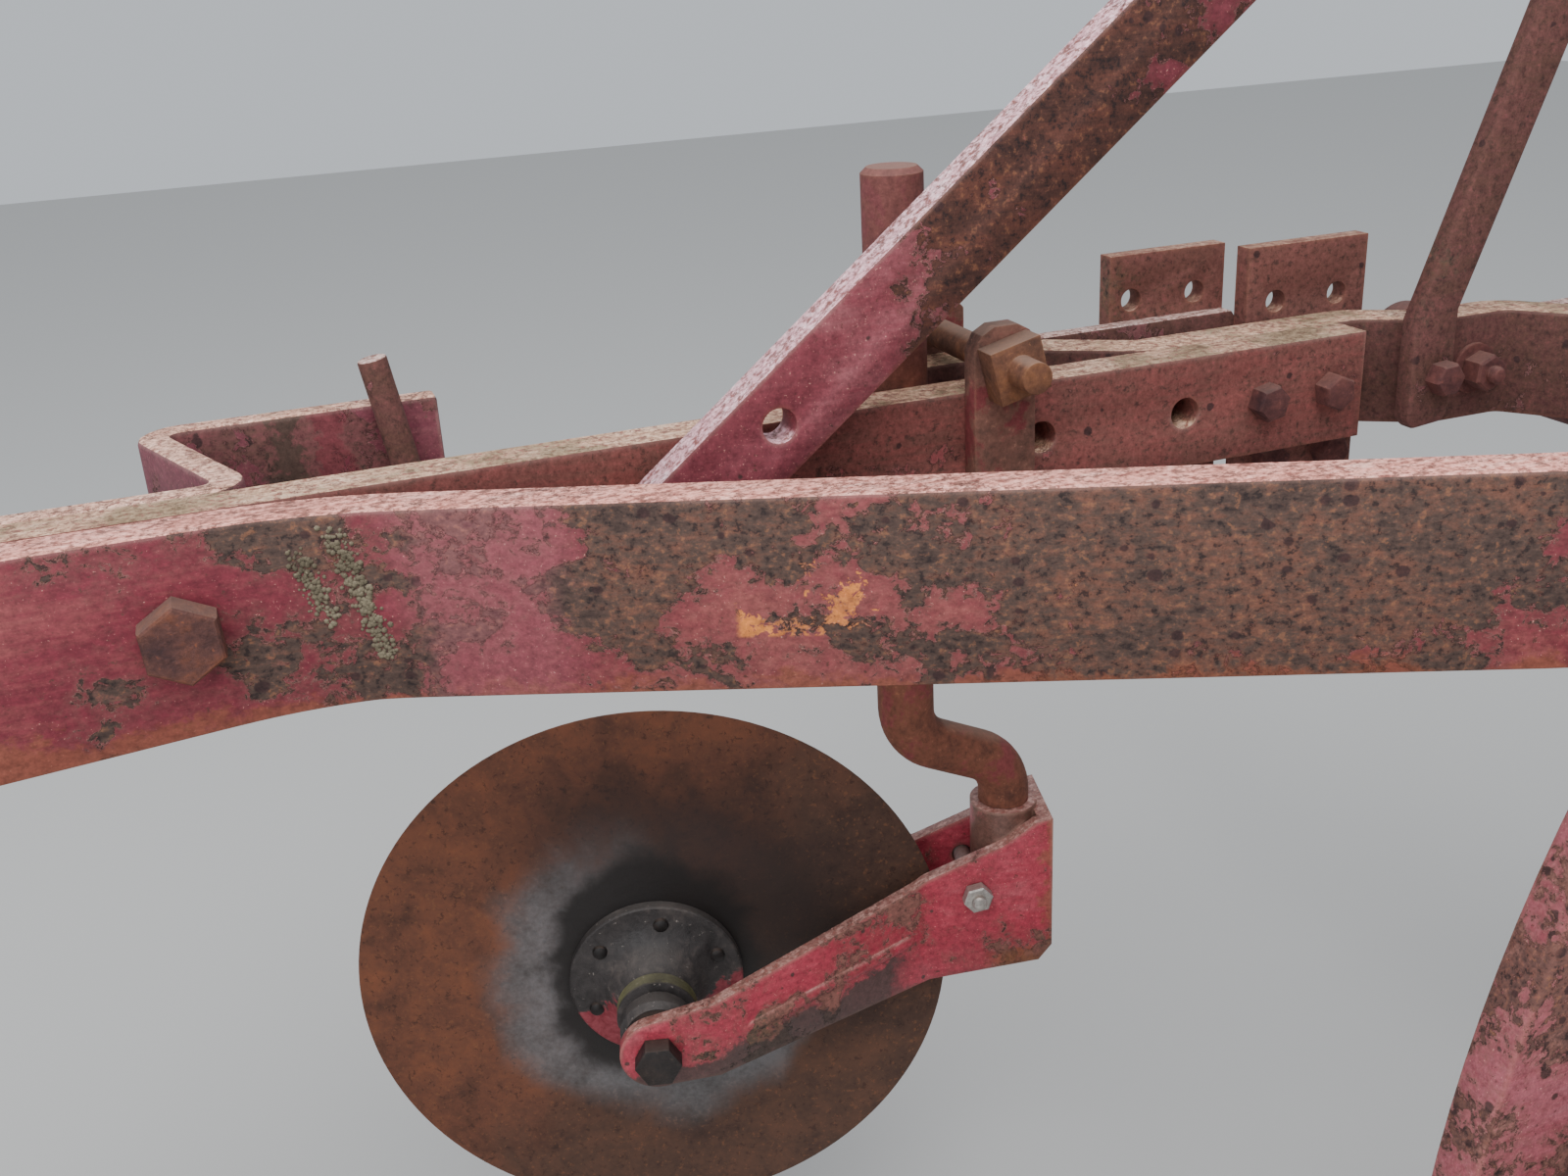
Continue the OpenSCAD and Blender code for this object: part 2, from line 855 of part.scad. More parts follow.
// closed shell between the front grid and the back grid
module shell(front, back) {
  m = len(front);
  n = len(front[0]);
  function id(s, i, j) = s * m * n + i * n + j;
  pts = concat([for (r = front) each r], [for (r = back) each r]);
  quads = concat(
    [for (i = [0 : m - 2]) for (j = [0 : n - 2])
      [id(0, i, j), id(0, i, j + 1), id(0, i + 1, j + 1), id(0, i + 1, j)]],
    [for (i = [0 : m - 2]) for (j = [0 : n - 2])
      [id(1, i, j), id(1, i + 1, j), id(1, i + 1, j + 1), id(1, i, j + 1)]],
    [for (i = [0 : m - 2]) [id(0, i, 0), id(0, i + 1, 0), id(1, i + 1, 0), id(1, i, 0)]],
    [for (i = [0 : m - 2])
      [id(0, i + 1, n - 1), id(0, i, n - 1), id(1, i, n - 1), id(1, i + 1, n - 1)]],
    [for (j = [0 : n - 2]) [id(0, 0, j + 1), id(0, 0, j), id(1, 0, j), id(1, 0, j + 1)]],
    [for (j = [0 : n - 2])
      [id(0, m - 1, j), id(0, m - 1, j + 1), id(1, m - 1, j + 1), id(1, m - 1, j)]]
  );
  tris = [for (q = quads) each [[q[0], q[1], q[2]], [q[0], q[2], q[3]]]];
  polyhedron(points = pts, faces = tris);
}

module moldboard() {
  function w_at(i) = 1 + (tail_w - 1) * i / cols;
  function z_at(i, j) = board_low(w_at(i)) + (board_high(w_at(i)) - board_low(w_at(i))) * j / rows;
  shell(
    [for (i = [0 : cols]) [for (j = [0 : rows]) face_pt(z_at(i, j), w_at(i))]],
    [for (i = [0 : cols]) [for (j = [0 : rows]) back_pt(z_at(i, j), w_at(i), board_t)]]
  );
}

module share() {
  edge_z = 3;
  steps = 5;
  function w_at(i) = 1 + (share_w - 1) * i / cols;
  function z_at(i, j) = edge_z + (share_top(w_at(i)) - edge_z) * j / steps;
  function thick(j) = 3 + (share_t - 3) * min(1, j / 2);
  function lifted(p) = [p[0], p[1], max(p[2], 0)];
  shell(
    [for (i = [0 : cols]) [for (j = [0 : steps]) face_pt(z_at(i, j), w_at(i))]],
    [for (i = [0 : cols]) [for (j = [0 : steps]) lifted(back_pt(z_at(i, j), w_at(i), thick(j)))]]
  );
}

// landside bar, cut at the front to the back of the share
module landside() {
  t = 12;
  h = 110;
  side_plate(-t, t)
    polygon(concat(
      [[-side_l, 0]],
      [for (z = [0.01, 20, 40, 60, 80]) [back_x(z, t, share_t) - (z < 40 ? 14 : 1), z]],
      [for (z = [100, h]) [back_x(z, t, share_t) - 1, z]],
      [[-side_l + 60, h], [-side_l, h - 36]]
    ));
}

// frog: plate from the leg down to the share, front edge fitted to the working parts
module frog() {
  t = 12;
  w = 37 + t;
  foot = 12;
  side_plate(-w, t)
    polygon(concat(
      [[-500, foot], [-536, 50], [-536, 190], [-520, 205], [-352, 205]],
      [for (z = [190, 160, 130, 110, 90, 70, 50, 30]) [back_x(z, w, share_t) - 1, z]],
      [[back_x(30, w, share_t) - 24, foot]]
    ));
}

// stay from the frog's heel to the back of the moldboard's wing
module stay() {
  a = [-418, -57.2, 70];
  w = 300;
  z = 190;
  b = back_pt(z, w, board_t + 7.9);
  d = b - a;
  translate(a)
    rotate([0, acos(d[2] / norm(d)), atan2(d[1], d[0])])
      cylinder(r = 8, h = norm(d));
}

module rear_body_at() {
  on_ground(point_x, rear_side_y)
    children();
}

module front_body_at() {
  on_ground(front_point_x, front_side_y)
    children();
}

module rear_frog() {
  color([0.3, 0.12, 0.12])
    rear_body_at()
      frog();
}

module front_frog() {
  color([0.3, 0.12, 0.12])
    front_body_at()
      frog();
}

module rear_moldboard() {
  color([0.4, 0.24, 0.16])
    rear_body_at()
      moldboard();
}

module front_moldboard() {
  color([0.4, 0.24, 0.16])
    front_body_at()
      moldboard();
}

module rear_share() {
  color([0.35, 0.25, 0.2])
    rear_body_at()
      share();
}

module front_share() {
  color([0.35, 0.25, 0.2])
    front_body_at()
      share();
}

module rear_landside() {
  color([0.36, 0.2, 0.15])
    rear_body_at()
      landside();
}

module front_landside() {
  color([0.36, 0.2, 0.15])
    front_body_at()
      landside();
}

module rear_stay() {
  color([0.35, 0.12, 0.12])
    rear_body_at()
      stay();
}

module front_stay() {
  color([0.35, 0.12, 0.12])
    front_body_at()
      stay();
}

right_beam();
main_beam();
front_beam();
cross_beam();
hitch_arm();
clamp_plate_rear();
clamp_plate_front();
rear_brace();
brace_packer();
mast_leg_left();
mast_leg_right();
mast_ear_left();
mast_ear_right();
mast_spacers();
cross_shaft();
shaft_bracket_left();
shaft_bracket_right();
rear_bracket();
bracket_doubler();
bracket_pin();
rear_clamp();
front_clamp();
rear_clamp_bolts();
front_clamp_bolts();
rear_stem();
front_stem();
rear_yoke();
front_yoke();
rear_axle();
front_axle();
rear_hub();
front_hub();
rear_disc();
front_disc();
rear_frog();
front_frog();
rear_moldboard();
front_moldboard();
rear_share();
front_share();
rear_landside();
front_landside();
rear_stay();
front_stay();
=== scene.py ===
# %% [markdown]
# # A weathered two-furrow plough
#
# The solids come packed from the CAD side. This lesson dresses them: rolled bars
# get rounded edges, old paint flakes off over rust, and bolts, rivets and moss are
# added where the real plough has them.
#
# All lengths are metres, +X forward, +Y left and +Z up.

# %% load the frame
import json
import math
import random

import bmesh
import bpy
from mathutils import Matrix, Vector
from mathutils.bvhtree import BVHTree


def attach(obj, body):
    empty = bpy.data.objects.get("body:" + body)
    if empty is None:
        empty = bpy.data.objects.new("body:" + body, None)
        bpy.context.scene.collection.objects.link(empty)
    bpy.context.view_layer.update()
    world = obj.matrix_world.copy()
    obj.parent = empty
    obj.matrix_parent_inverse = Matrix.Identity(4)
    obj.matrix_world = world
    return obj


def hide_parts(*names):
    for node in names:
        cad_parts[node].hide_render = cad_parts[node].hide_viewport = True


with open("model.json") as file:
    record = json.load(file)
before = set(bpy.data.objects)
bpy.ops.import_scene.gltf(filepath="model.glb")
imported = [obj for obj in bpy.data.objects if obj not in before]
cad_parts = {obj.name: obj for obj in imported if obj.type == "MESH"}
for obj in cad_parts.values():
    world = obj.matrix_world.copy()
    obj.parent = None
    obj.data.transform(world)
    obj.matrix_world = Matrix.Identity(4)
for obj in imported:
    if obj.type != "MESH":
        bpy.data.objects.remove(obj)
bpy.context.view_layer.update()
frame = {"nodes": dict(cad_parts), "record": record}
scene = bpy.context.scene

# %% [markdown]
# ## Places on the plough
#
# A fitter measures from an edge. Here that edge is where the main beam and the right
# beam part: X runs forward along the main beam, Y to the left and Z up from the beams'
# top edges, in millimetres. `at` turns such a place into metres in the model's frame.

# %% places
MM = 0.001
BEAM_ORIGIN = Vector((-0.3178, 0.13025, 0.640))


def at(x, y, z):
    return BEAM_ORIGIN + Vector((x, y, z)) * MM


BODY_OF = {}
for body, nodes in frame["record"]["behaviour"]["bodies"].items():
    for node in nodes:
        BODY_OF[node] = body
STATIONS = {"rear": (372.0, 41.0), "front": (1202.0, -209.0)}
PARK = math.radians(-15)
AHEAD = Vector((math.cos(PARK), math.sin(PARK), 0))
ASIDE = Vector((-math.sin(PARK), math.cos(PARK), 0))
TRAIL, HUB_DROP = 217.0, 368.0


def swung(station, x, y, z):
    """A place on a parked coulter: X forward from the swivel's axis, Y to its left."""
    return at(*STATIONS[station], z) + (AHEAD * x + ASIDE * y) * MM


# %% [markdown]
# ## The camera
#
# The photograph looks down on the beams from the plough's right, at hip height, and
# leans slightly. A heading, a pitch and a roll give the camera's turn in the
# order in which a photographer would set them.

# %% camera
LENS, SENSOR = 36.0, 36.0
HEADING, PITCH, ROLL = math.radians(18.76), math.radians(22.34), math.radians(-3.31)
camera_data = bpy.data.cameras.new("photo_camera")
camera_data.lens = LENS
camera_data.sensor_width = SENSOR
camera_data.clip_start = 0.02
camera = bpy.data.objects.new("photo_camera", camera_data)
scene.collection.objects.link(camera)
turn = Matrix.Rotation(-HEADING, 4, "Z") @ Matrix.Rotation(math.pi / 2 - PITCH, 4, "X")
turn = turn @ Matrix.Rotation(ROLL, 4, "Z")
camera.matrix_world = Matrix.Translation(at(-10.1, -697.4, 215.5)) @ turn
scene.camera = camera
print("camera at", [round(v, 3) for v in camera.location])

# %% [markdown]
# ## A kit for shader trees
#
# Old paint is one idea told many times: a pattern decides where paint is left, and
# colour, gloss and height follow that pattern. A few short helpers keep each
# material readable. Colours are written as a painter's hex code and turned linear.

# %% shader kit
EDGE_SAMPLES = 4
# cosines between a face and its rounded normal, on a flat and at a worn edge
FLAT_ENOUGH, SHARP_ENOUGH = 0.97, 0.83


def hue(code):
    """The linear colour for a hex code in sRGB."""
    parts = [int(code[i:i + 2], 16) / 255 for i in (0, 2, 4)]
    linear = [v / 12.92 if v <= 0.04045 else ((v + 0.055) / 1.055) ** 2.4 for v in parts]
    return linear + [1.0]


class Kit:
    """Adds nodes to a material and returns their output sockets."""

    def __init__(self, name):
        self.material = bpy.data.materials.new(name)
        self.material.use_nodes = True
        self.tree = self.material.node_tree
        self.shader = self.tree.nodes["Principled BSDF"]

    def put(self, node, inputs):
        """Links a socket to each named input, or writes a plain value there."""
        for name, value in inputs.items():
            if isinstance(value, bpy.types.NodeSocket):
                self.tree.links.new(value, node.inputs[name])
            else:
                node.inputs[name].default_value = value

    def add(self, kind, inputs, **settings):
        node = self.tree.nodes.new(kind)
        for key, value in settings.items():
            setattr(node, key, value)
        self.put(node, inputs)
        return node.outputs

    def place(self, scale=(1, 1, 1), shift=(0, 0, 0)):
        """Object coordinates, stretched and shifted."""
        spot = self.add("ShaderNodeTexCoord", {})["Object"]
        inputs = {"Vector": spot, "Location": shift, "Scale": scale}
        return self.add("ShaderNodeMapping", inputs)["Vector"]

    def noise(self, vector, scale, detail=4.0, rough=0.55, warp=0.0):
        inputs = {"Vector": vector, "Scale": scale, "Detail": detail, "Roughness": rough,
                  "Distortion": warp}
        return self.add("ShaderNodeTexNoise", inputs)["Fac"]

    def sums(self, *pairs, start=0.0):
        """Adds value times weight for each pair."""
        total = start
        for value, weight in pairs:
            total = self.math("MULTIPLY_ADD", value, weight, total)
        return total

    def times(self, a, b):
        return self.math("MULTIPLY", a, b)

    def math(self, operation, a, b=0.0, c=0.0):
        return self.add("ShaderNodeMath", {0: a, 1: b, 2: c}, operation=operation)[0]

    def vector(self, operation, a, b):
        return self.add("ShaderNodeVectorMath", {0: a, 1: b}, operation=operation)["Value"]

    def step(self, value, low, high, out_low=0.0, out_high=1.0):
        """Runs smoothly from out_low to out_high while value goes from low to high."""
        inputs = {"Value": value, "From Min": low, "From Max": high, "To Min": out_low,
                  "To Max": out_high}
        return self.add("ShaderNodeMapRange", inputs, interpolation_type="SMOOTHSTEP")["Result"]

    def mix(self, fac, a, b, blend="MIX"):
        return self.add("ShaderNodeMix", {"Factor": fac, 6: a, 7: b},
                        data_type="RGBA", blend_type=blend)[2]

    def ramp(self, fac, *stops):
        node = self.tree.nodes.new("ShaderNodeValToRGB")
        elements = node.color_ramp.elements
        for _ in stops[2:]:
            elements.new(0.5)
        for element, (place, colour) in zip(elements, stops):
            element.position = place
            element.color = hue(colour)
        self.put(node, {"Fac": fac})
        return node.outputs["Color"]

    def axes(self, vector):
        return self.add("ShaderNodeSeparateXYZ", {0: vector})

    def facing_up(self):
        """1 on faces that look up, 0 on walls and undersides."""
        return self.axes(self.add("ShaderNodeNewGeometry", {})["Normal"])[2]

    def edges(self, radius):
        """1 near the sharp edges, where soil and chains rub, and how far they look up."""
        rounded = self.add("ShaderNodeBevel", {"Radius": radius}, samples=EDGE_SAMPLES)["Normal"]
        flat = self.add("ShaderNodeNewGeometry", {})["Normal"]
        agree = self.vector("DOT_PRODUCT", rounded, flat)
        return self.step(agree, FLAT_ENOUGH, SHARP_ENOUGH), self.axes(rounded)[2]

    def relief(self, height, depth):
        """Height in 0..1, carved to a real depth in metres."""
        bump = self.add("ShaderNodeBump", {"Distance": depth, "Strength": 1.0, "Height": height})
        self.put(self.shader, {"Normal": bump["Normal"]})

    def finish(self, colour, rough, metal=0.0, specular=0.35):
        self.put(self.shader, {"Base Color": colour, "Roughness": rough, "Metallic": metal,
                               "Specular IOR Level": specular})
        return self.material


print("shader kit ready")

# %% [markdown]
# ## Patterns that every old finish shares
#
# Paint, rust and grime on this plough break up at the same few sizes: regions of a
# hand's width, flakes of a few centimetres, ragged borders, specks and grit. `Wear`
# makes them once for a material. It also measures along a direction, so that one end
# of a bar can be redder, or the lower half of an arm greasier, than the rest. The last
# three helpers lay a colour on with such a pattern.

# %% wear patterns


class Wear(Kit):
    """A kit that starts with noise at the sizes at which old paint breaks up."""

    def __init__(self, name, grain=(1, 1, 1), seed=0.0):
        super().__init__(name)
        self.spot = self.place()
        self.v = self.place(scale=grain, shift=(seed, seed * 0.7, seed * 1.3))
        self.regions = self.noise(self.v, 7.0, 2.0)
        self.flakes = self.noise(self.v, 38.0, 5.0, 0.6, 0.4)
        self.ragged = self.noise(self.v, 170.0, 8.0, 0.7, 0.6)
        self.specks = self.noise(self.v, 300.0, 5.0, 0.65)
        self.crumbs = self.noise(self.v, 215.0, 6.0, 0.75, 0.3)
        self.grit = self.noise(self.v, 900.0, 3.0, 0.7)
        stretched = self.place(scale=(22, 300, 300), shift=(seed, 0, 0))
        self.streaks = self.noise(stretched, 1.0, 6.0, 0.65)

    def along(self, direction):
        """Metres from the frame's origin along a direction."""
        return self.vector("DOT_PRODUCT", self.spot, direction)

    def away(self, centre, flat=(1, 1, 1)):
        """Metres from a centre. A 0 in `flat` leaves that axis out."""
        centre = [c * f for c, f in zip(centre, flat)]
        return self.vector("DISTANCE", self.place(scale=flat), centre)

    def frayed(self, value, spread=0.05):
        """The same value with a ragged border of about the given width."""
        return self.sums((self.flakes, spread), (self.ragged, 0.5 * spread), (value, 1.0),
                         start=-0.75 * spread)

    def pits(self, scale, size, share):
        """1 in round marks. One cell in `share` holds a mark of up to `size` cells."""
        cells = self.add("ShaderNodeTexVoronoi", {"Vector": self.v, "Scale": scale})
        luck = self.add("ShaderNodeSeparateColor", {0: cells["Color"]})[0]
        reach = self.step(luck, 1 - share, 1.0, -0.1, size)
        edge = self.sums((self.ragged, 0.35), (reach, -1.0), (cells["Distance"], 1.0),
                         start=-0.18)
        return self.step(edge, 0.05, -0.05)

    def dab(self, under, value, start, whole, strength, code):
        """Lays a colour over another while `value` goes from start to whole."""
        return self.mix(self.step(value, start, whole, 0.0, strength), under, hue(code))

    def grained(self, colour, specks, grit, start):
        """A colour made lighter and darker by fine grain."""
        tone = self.sums((self.specks, specks), (self.grit, grit), start=start)
        return self.mix(1.0, colour, tone, "MULTIPLY")

    def rub_edges_with_highlight(self, colour, edge, radius, cover, wear):
        """Rubs the edges: `edge` holds one colour for upper ones and one for lower ones. The
        lighter upper colour is worn paint and a painted highlight at once.
        """
        rub, upper = self.edges(radius)
        rub = self.times(rub, self.step(self.flakes, *cover))
        # painted highlight: upper edges take the lighter first colour on top of their wear, lower
        # edges the second
        rim = self.mix(self.step(upper, -0.2, 0.2), hue(edge[1]), hue(edge[0]))
        return self.mix(self.times(rub, wear), colour, rim)


print("wear patterns ready")

# %% [markdown]
# ## Old paint over rust
#
# On the beams the crimson lies in ragged islands a few centimetres wide. Between them
# is the bare bar, grey-brown with ochre specks, fine streaks and dark scabs, and over
# part of that a brownish film of paint is left. The layers are built from the bar up,
# as rust and weather have bared them, and each layer is a function of its own.

# %% bare bar and film
OCHRE_SPECK, DARK_SPECK, FILM_CRUMB = "8a5b40", "33292a", "43302c"
FILM_LINE, FILM_REACH, FILM_SOFTNESS = 0.85, 0.8, 0.07


def bare_bar(k, rust):
    """Rust streaked along the bar, with ochre and dark specks."""
    bar = k.ramp(k.sums((k.flakes, 0.45), (k.streaks, 0.55), (k.ragged, 0.3), start=-0.15),
                 *zip((0.3, 0.46, 0.6, 0.8), rust))
    bar = k.dab(bar, k.specks, 0.56, 0.66, 0.5, OCHRE_SPECK)
    return k.dab(bar, k.specks, 0.44, 0.37, 0.75, DARK_SPECK)


def filmed(k, bar, film, thin, film_shade, speck):
    """The bar with thin paint left on `film` of it."""
    veil = k.sums((k.noise(k.v, 11.0, 5.0, 0.6), 1.0), (k.ragged, 0.5), (k.specks, 0.2))
    line = FILM_LINE + (0.5 - film) * FILM_REACH
    veil = k.step(veil, line - FILM_SOFTNESS, line + FILM_SOFTNESS)
    shade = k.step(k.sums((k.streaks, 0.5), (k.flakes, 0.5)), 0.4, 0.62)
    tint = k.mix(shade, hue(thin), hue(film_shade))
    tint = k.dab(tint, k.crumbs, 0.54, 0.62, 0.7, FILM_CRUMB)
    tint = k.dab(tint, k.specks, 0.6, 0.68, 0.6, speck)
    return k.mix(k.times(veil, 0.85), bar, tint)


print("bare bar and film ready")

# %% [markdown]
# Whole paint has thin lips that catch the light, chalky grit, crumbs and round pocks
# where rust has broken through. The near beam also carries a strip of orange paint,
# of which only a few flakes are left.

# %% whole paint
LIP_HIGHLIGHT, PAINT_CRUMB, CHALK, POCK = "bd8a80", "573730", "d7a391", "4c3634"
STRIP_COLOURS = ("c0652f", "e08a45")
STRIP_SIDE, STRIP_TOP = 0.002, 0.001


def strip_left(k, coat, low, high, share):
    """The last flakes of an orange strip between two corners."""
    px, _, pz = k.axes(k.spot)
    strip = k.step(px, low[0] - STRIP_SIDE, low[0] + STRIP_SIDE)
    for value, outside, inside in ((px, high[0] + STRIP_SIDE, high[0] - STRIP_SIDE),
                                   (pz, low[2] - STRIP_TOP, low[2] + STRIP_TOP),
                                   (pz, high[2] + STRIP_TOP, high[2] - STRIP_TOP)):
        strip = k.times(strip, k.step(value, outside, inside))
    blots = k.sums((k.noise(k.v, 26.0, 6.0, 0.62, 0.8), 1.0), (k.ragged, 0.5))
    strip = k.times(strip, k.step(blots, share, share + 0.015))
    orange = k.ramp(k.sums((k.streaks, 0.6), (k.ragged, 0.5)), *zip((0.3, 0.6), STRIP_COLOURS))
    return k.mix(strip, coat, orange)


def whole_paint(k, paint, worn_edge, thin, lip, pocks, mark):
    coat = k.ramp(k.sums((k.regions, 0.8), (k.streaks, 0.35), (k.flakes, 0.35), start=-0.28),
                  *zip((0.3, 0.52, 0.74), paint))
    if mark is not None:
        coat = strip_left(k, coat, *mark)
    coat = k.mix(worn_edge, coat, hue(thin))
    # painted highlight: a pale pink along the curled lips of the flakes, where they catch the light
    coat = k.mix(k.times(lip, 0.6), coat, hue(LIP_HIGHLIGHT))
    coat = k.dab(coat, k.crumbs, 0.60, 0.66, 0.85, PAINT_CRUMB)
    coat = k.dab(coat, k.grit, 0.66, 0.71, 0.9, CHALK)
    return k.mix(k.times(k.pits(*pocks), 0.9), coat, hue(POCK))


print("whole paint ready")

# %% [markdown]
# Rain and sun have bleached the top faces to a dusty pink, and moss has settled on
# some. Only faces that look up get this, so it needs no drawn borders.

# %% bleached tops
TOP_CRUMB, TOP_SPECK = "7f584e", "bc7468"
MOSS_SHADES = ("524d36", "7f7a56")


def bleached(k, worn, top, moss):
    up = k.facing_up()
    dusty = k.ramp(k.sums((k.streaks, 0.55), (k.specks, 0.45), (k.flakes, 0.3), start=-0.15),
                   *zip((0.34, 0.5, 0.68), top))
    dusty = k.dab(dusty, k.crumbs, 0.51, 0.59, 0.85, TOP_CRUMB)
    dusty = k.dab(dusty, k.specks, 0.46, 0.36, 0.8, TOP_SPECK)
    dusty = k.grained(dusty, 2.0, 1.4, -0.7)
    cover = k.times(k.step(up, 0.35, 0.85), k.step(k.flakes, 0.2, 0.45, 0.7, 0.97))
    worn = k.mix(cover, worn, dusty)
    if not moss:
        return worn
    green = k.ramp(k.sums((k.specks, 0.7), (k.grit, 0.3)), *zip((0.35, 0.7), MOSS_SHADES))
    growth = k.sums((k.noise(k.v, 16.0, 6.0, 0.7), 1.0), (k.specks, 0.3), start=-0.15)
    growth = k.step(growth, 0.66 - moss * 0.45, 0.76 - moss * 0.45)
    return k.mix(k.times(growth, k.step(up, 0.3, 0.8, 0.0, 0.55)), worn, green)


print("bleached tops ready")

# %% [markdown]
# One function lays these together for every painted piece: `left` is the share of
# whole paint, `film` the share of thin paint in the rest. `fades` move the paint's
# border along a direction, and `stains` lay a colour over one side of a line, within
# a second line. Then the edges are rubbed, whatever lies there, with a lighter colour
# on upper edges that also paints their highlight, and the bleached tops come last.

# %% old paint
PAINT_LINE, PAINT_REACH = 1.05, 0.75
PAINT_SHADOW, SCAB = "3a2422", "3b2829"
SCABS_PER_METRE, SCAB_SIZE = 120.0, 0.34
RELIEF = 0.0006


def stained(k, worn, stains):
    for direction, start, end, code, strength, (across, outside, inside) in stains:
        cover = k.step(k.frayed(k.along(direction)), start, end, 0.0, strength)
        limit = k.step(k.frayed(k.along(across)), outside, inside)
        worn = k.mix(k.times(cover, limit), worn, hue(code))
    return worn


def old_paint(name, left, film, paint, thin="7c4b45", film_shade="68463c",
              rust=("3f332d", "5e4c40", "745443", "8d6042"), rough=0.62,
              top=("86685c", "d2aea4", "e4cdc4"), moss=0.1, edge=("c39a90", "8e5a42"),
              wear=0.6, scabs=0.3, pocks=(150.0, 0.22, 0.16), fades=(), stains=(),
              mark=None, round_patch=None, grain=(1, 1, 1), seed=0.0):
    k = Wear(name, grain, seed)
    shape = k.sums((k.regions, 0.9), (k.flakes, 0.75), (k.ragged, 0.45))
    for direction, start, end, amount in fades:
        shape = k.math("ADD", shape, k.step(k.along(direction), start, end, 0.0, amount))
    line = PAINT_LINE + (0.5 - left) * PAINT_REACH
    painted = k.step(shape, line - 0.008, line + 0.008)
    lip = k.times(k.step(shape, line + 0.022, line + 0.006), painted)
    shadow = k.step(shape, line - 0.03, line - 0.004)
    worn_edge = k.step(shape, line + 0.14, line, 0.0, 0.4)

    base = filmed(k, bare_bar(k, rust), film, thin, film_shade, paint[1])
    base = k.mix(k.times(shadow, 0.5), base, hue(PAINT_SHADOW))
    scab = k.times(k.pits(SCABS_PER_METRE, SCAB_SIZE, scabs), 0.85)
    base = k.mix(scab, base, hue(SCAB))
    worn = k.mix(painted, base, whole_paint(k, paint, worn_edge, thin, lip, pocks, mark))
    worn = stained(k, worn, stains)
    if round_patch is not None:
        centre, flat, radius, code = round_patch
        place = k.frayed(k.away(centre, flat), 0.012)
        patch = k.mix(k.step(k.flakes, 0.35, 0.65), hue(code), hue(rust[1]))
        worn = k.mix(k.step(place, radius, radius - 0.003, 0.0, 0.9), worn, patch)
    worn = k.grained(worn, 1.5, 0.9, -0.2)
    worn = k.rub_edges_with_highlight(worn, edge, 0.005, (0.3, 0.6, 0.3, 1.0), wear)
    worn = bleached(k, worn, top, moss)

    height = k.sums((painted, 0.5), (lip, 0.3), (k.grit, 0.14), (k.specks, 0.25), (k.flakes, 0.3))
    k.relief(height, RELIEF)
    return k.finish(worn, k.step(painted, 0.0, 1.0, 0.88, rough))


print("old paint ready")

# %% [markdown]
# ## Plain rust
#
# Clamp straps, nuts, stems and shafts lost their paint long ago. Their rust runs from
# near black in the pits to orange where it is fresh. The working parts were once
# polished by the soil, so their rust is finer, streaked along the way the soil slid.

# %% rust
DUST = "a58b7c"


def plain_rust(name, dark, mid, fresh, rough=0.85, sheen=0.0, streak=(60, 200, 200),
               depth=RELIEF, red=0.0, red_colour="7a3038", edge=("a98468", "8a5a42"),
               dust=0.4, stains=(), seed=0.0):
    k = Wear(name, seed=seed)
    run = k.noise(k.place(scale=streak), 1.0, 5.0, 0.6)
    colour = k.ramp(k.sums((k.flakes, 0.65), (run, 0.3), (k.ragged, 0.3), start=-0.12),
                    (0.3, dark), (0.5, mid), (0.74, fresh))
    colour = k.dab(colour, k.specks, 0.6, 0.72, 0.8, fresh)
    colour = k.dab(colour, k.grit, 0.62, 0.78, 0.9, dark)
    if red:
        patch = k.sums((k.flakes, 1.0), (k.ragged, 0.4), (red, 0.3))
        colour = k.dab(colour, patch, 0.84, 0.94, 0.8, red_colour)
    for direction, start, end, code, strength in stains:
        place = k.frayed(k.along(direction), 0.03)
        colour = k.dab(colour, place, start, end, strength, code)
    colour = k.grained(colour, 1.2, 0.7, 0.05)
    colour = k.rub_edges_with_highlight(colour, edge, 0.0025, (0.4, 0.6, 0.25, 0.85), 0.55)
    colour = k.dab(colour, k.facing_up(), 0.6, 0.95, dust, DUST)
    k.relief(k.sums((k.ragged, 0.6), (k.grit, 0.3), (k.flakes, 0.4)), depth)
    return k.finish(colour, rough, sheen)


print("rust ready")
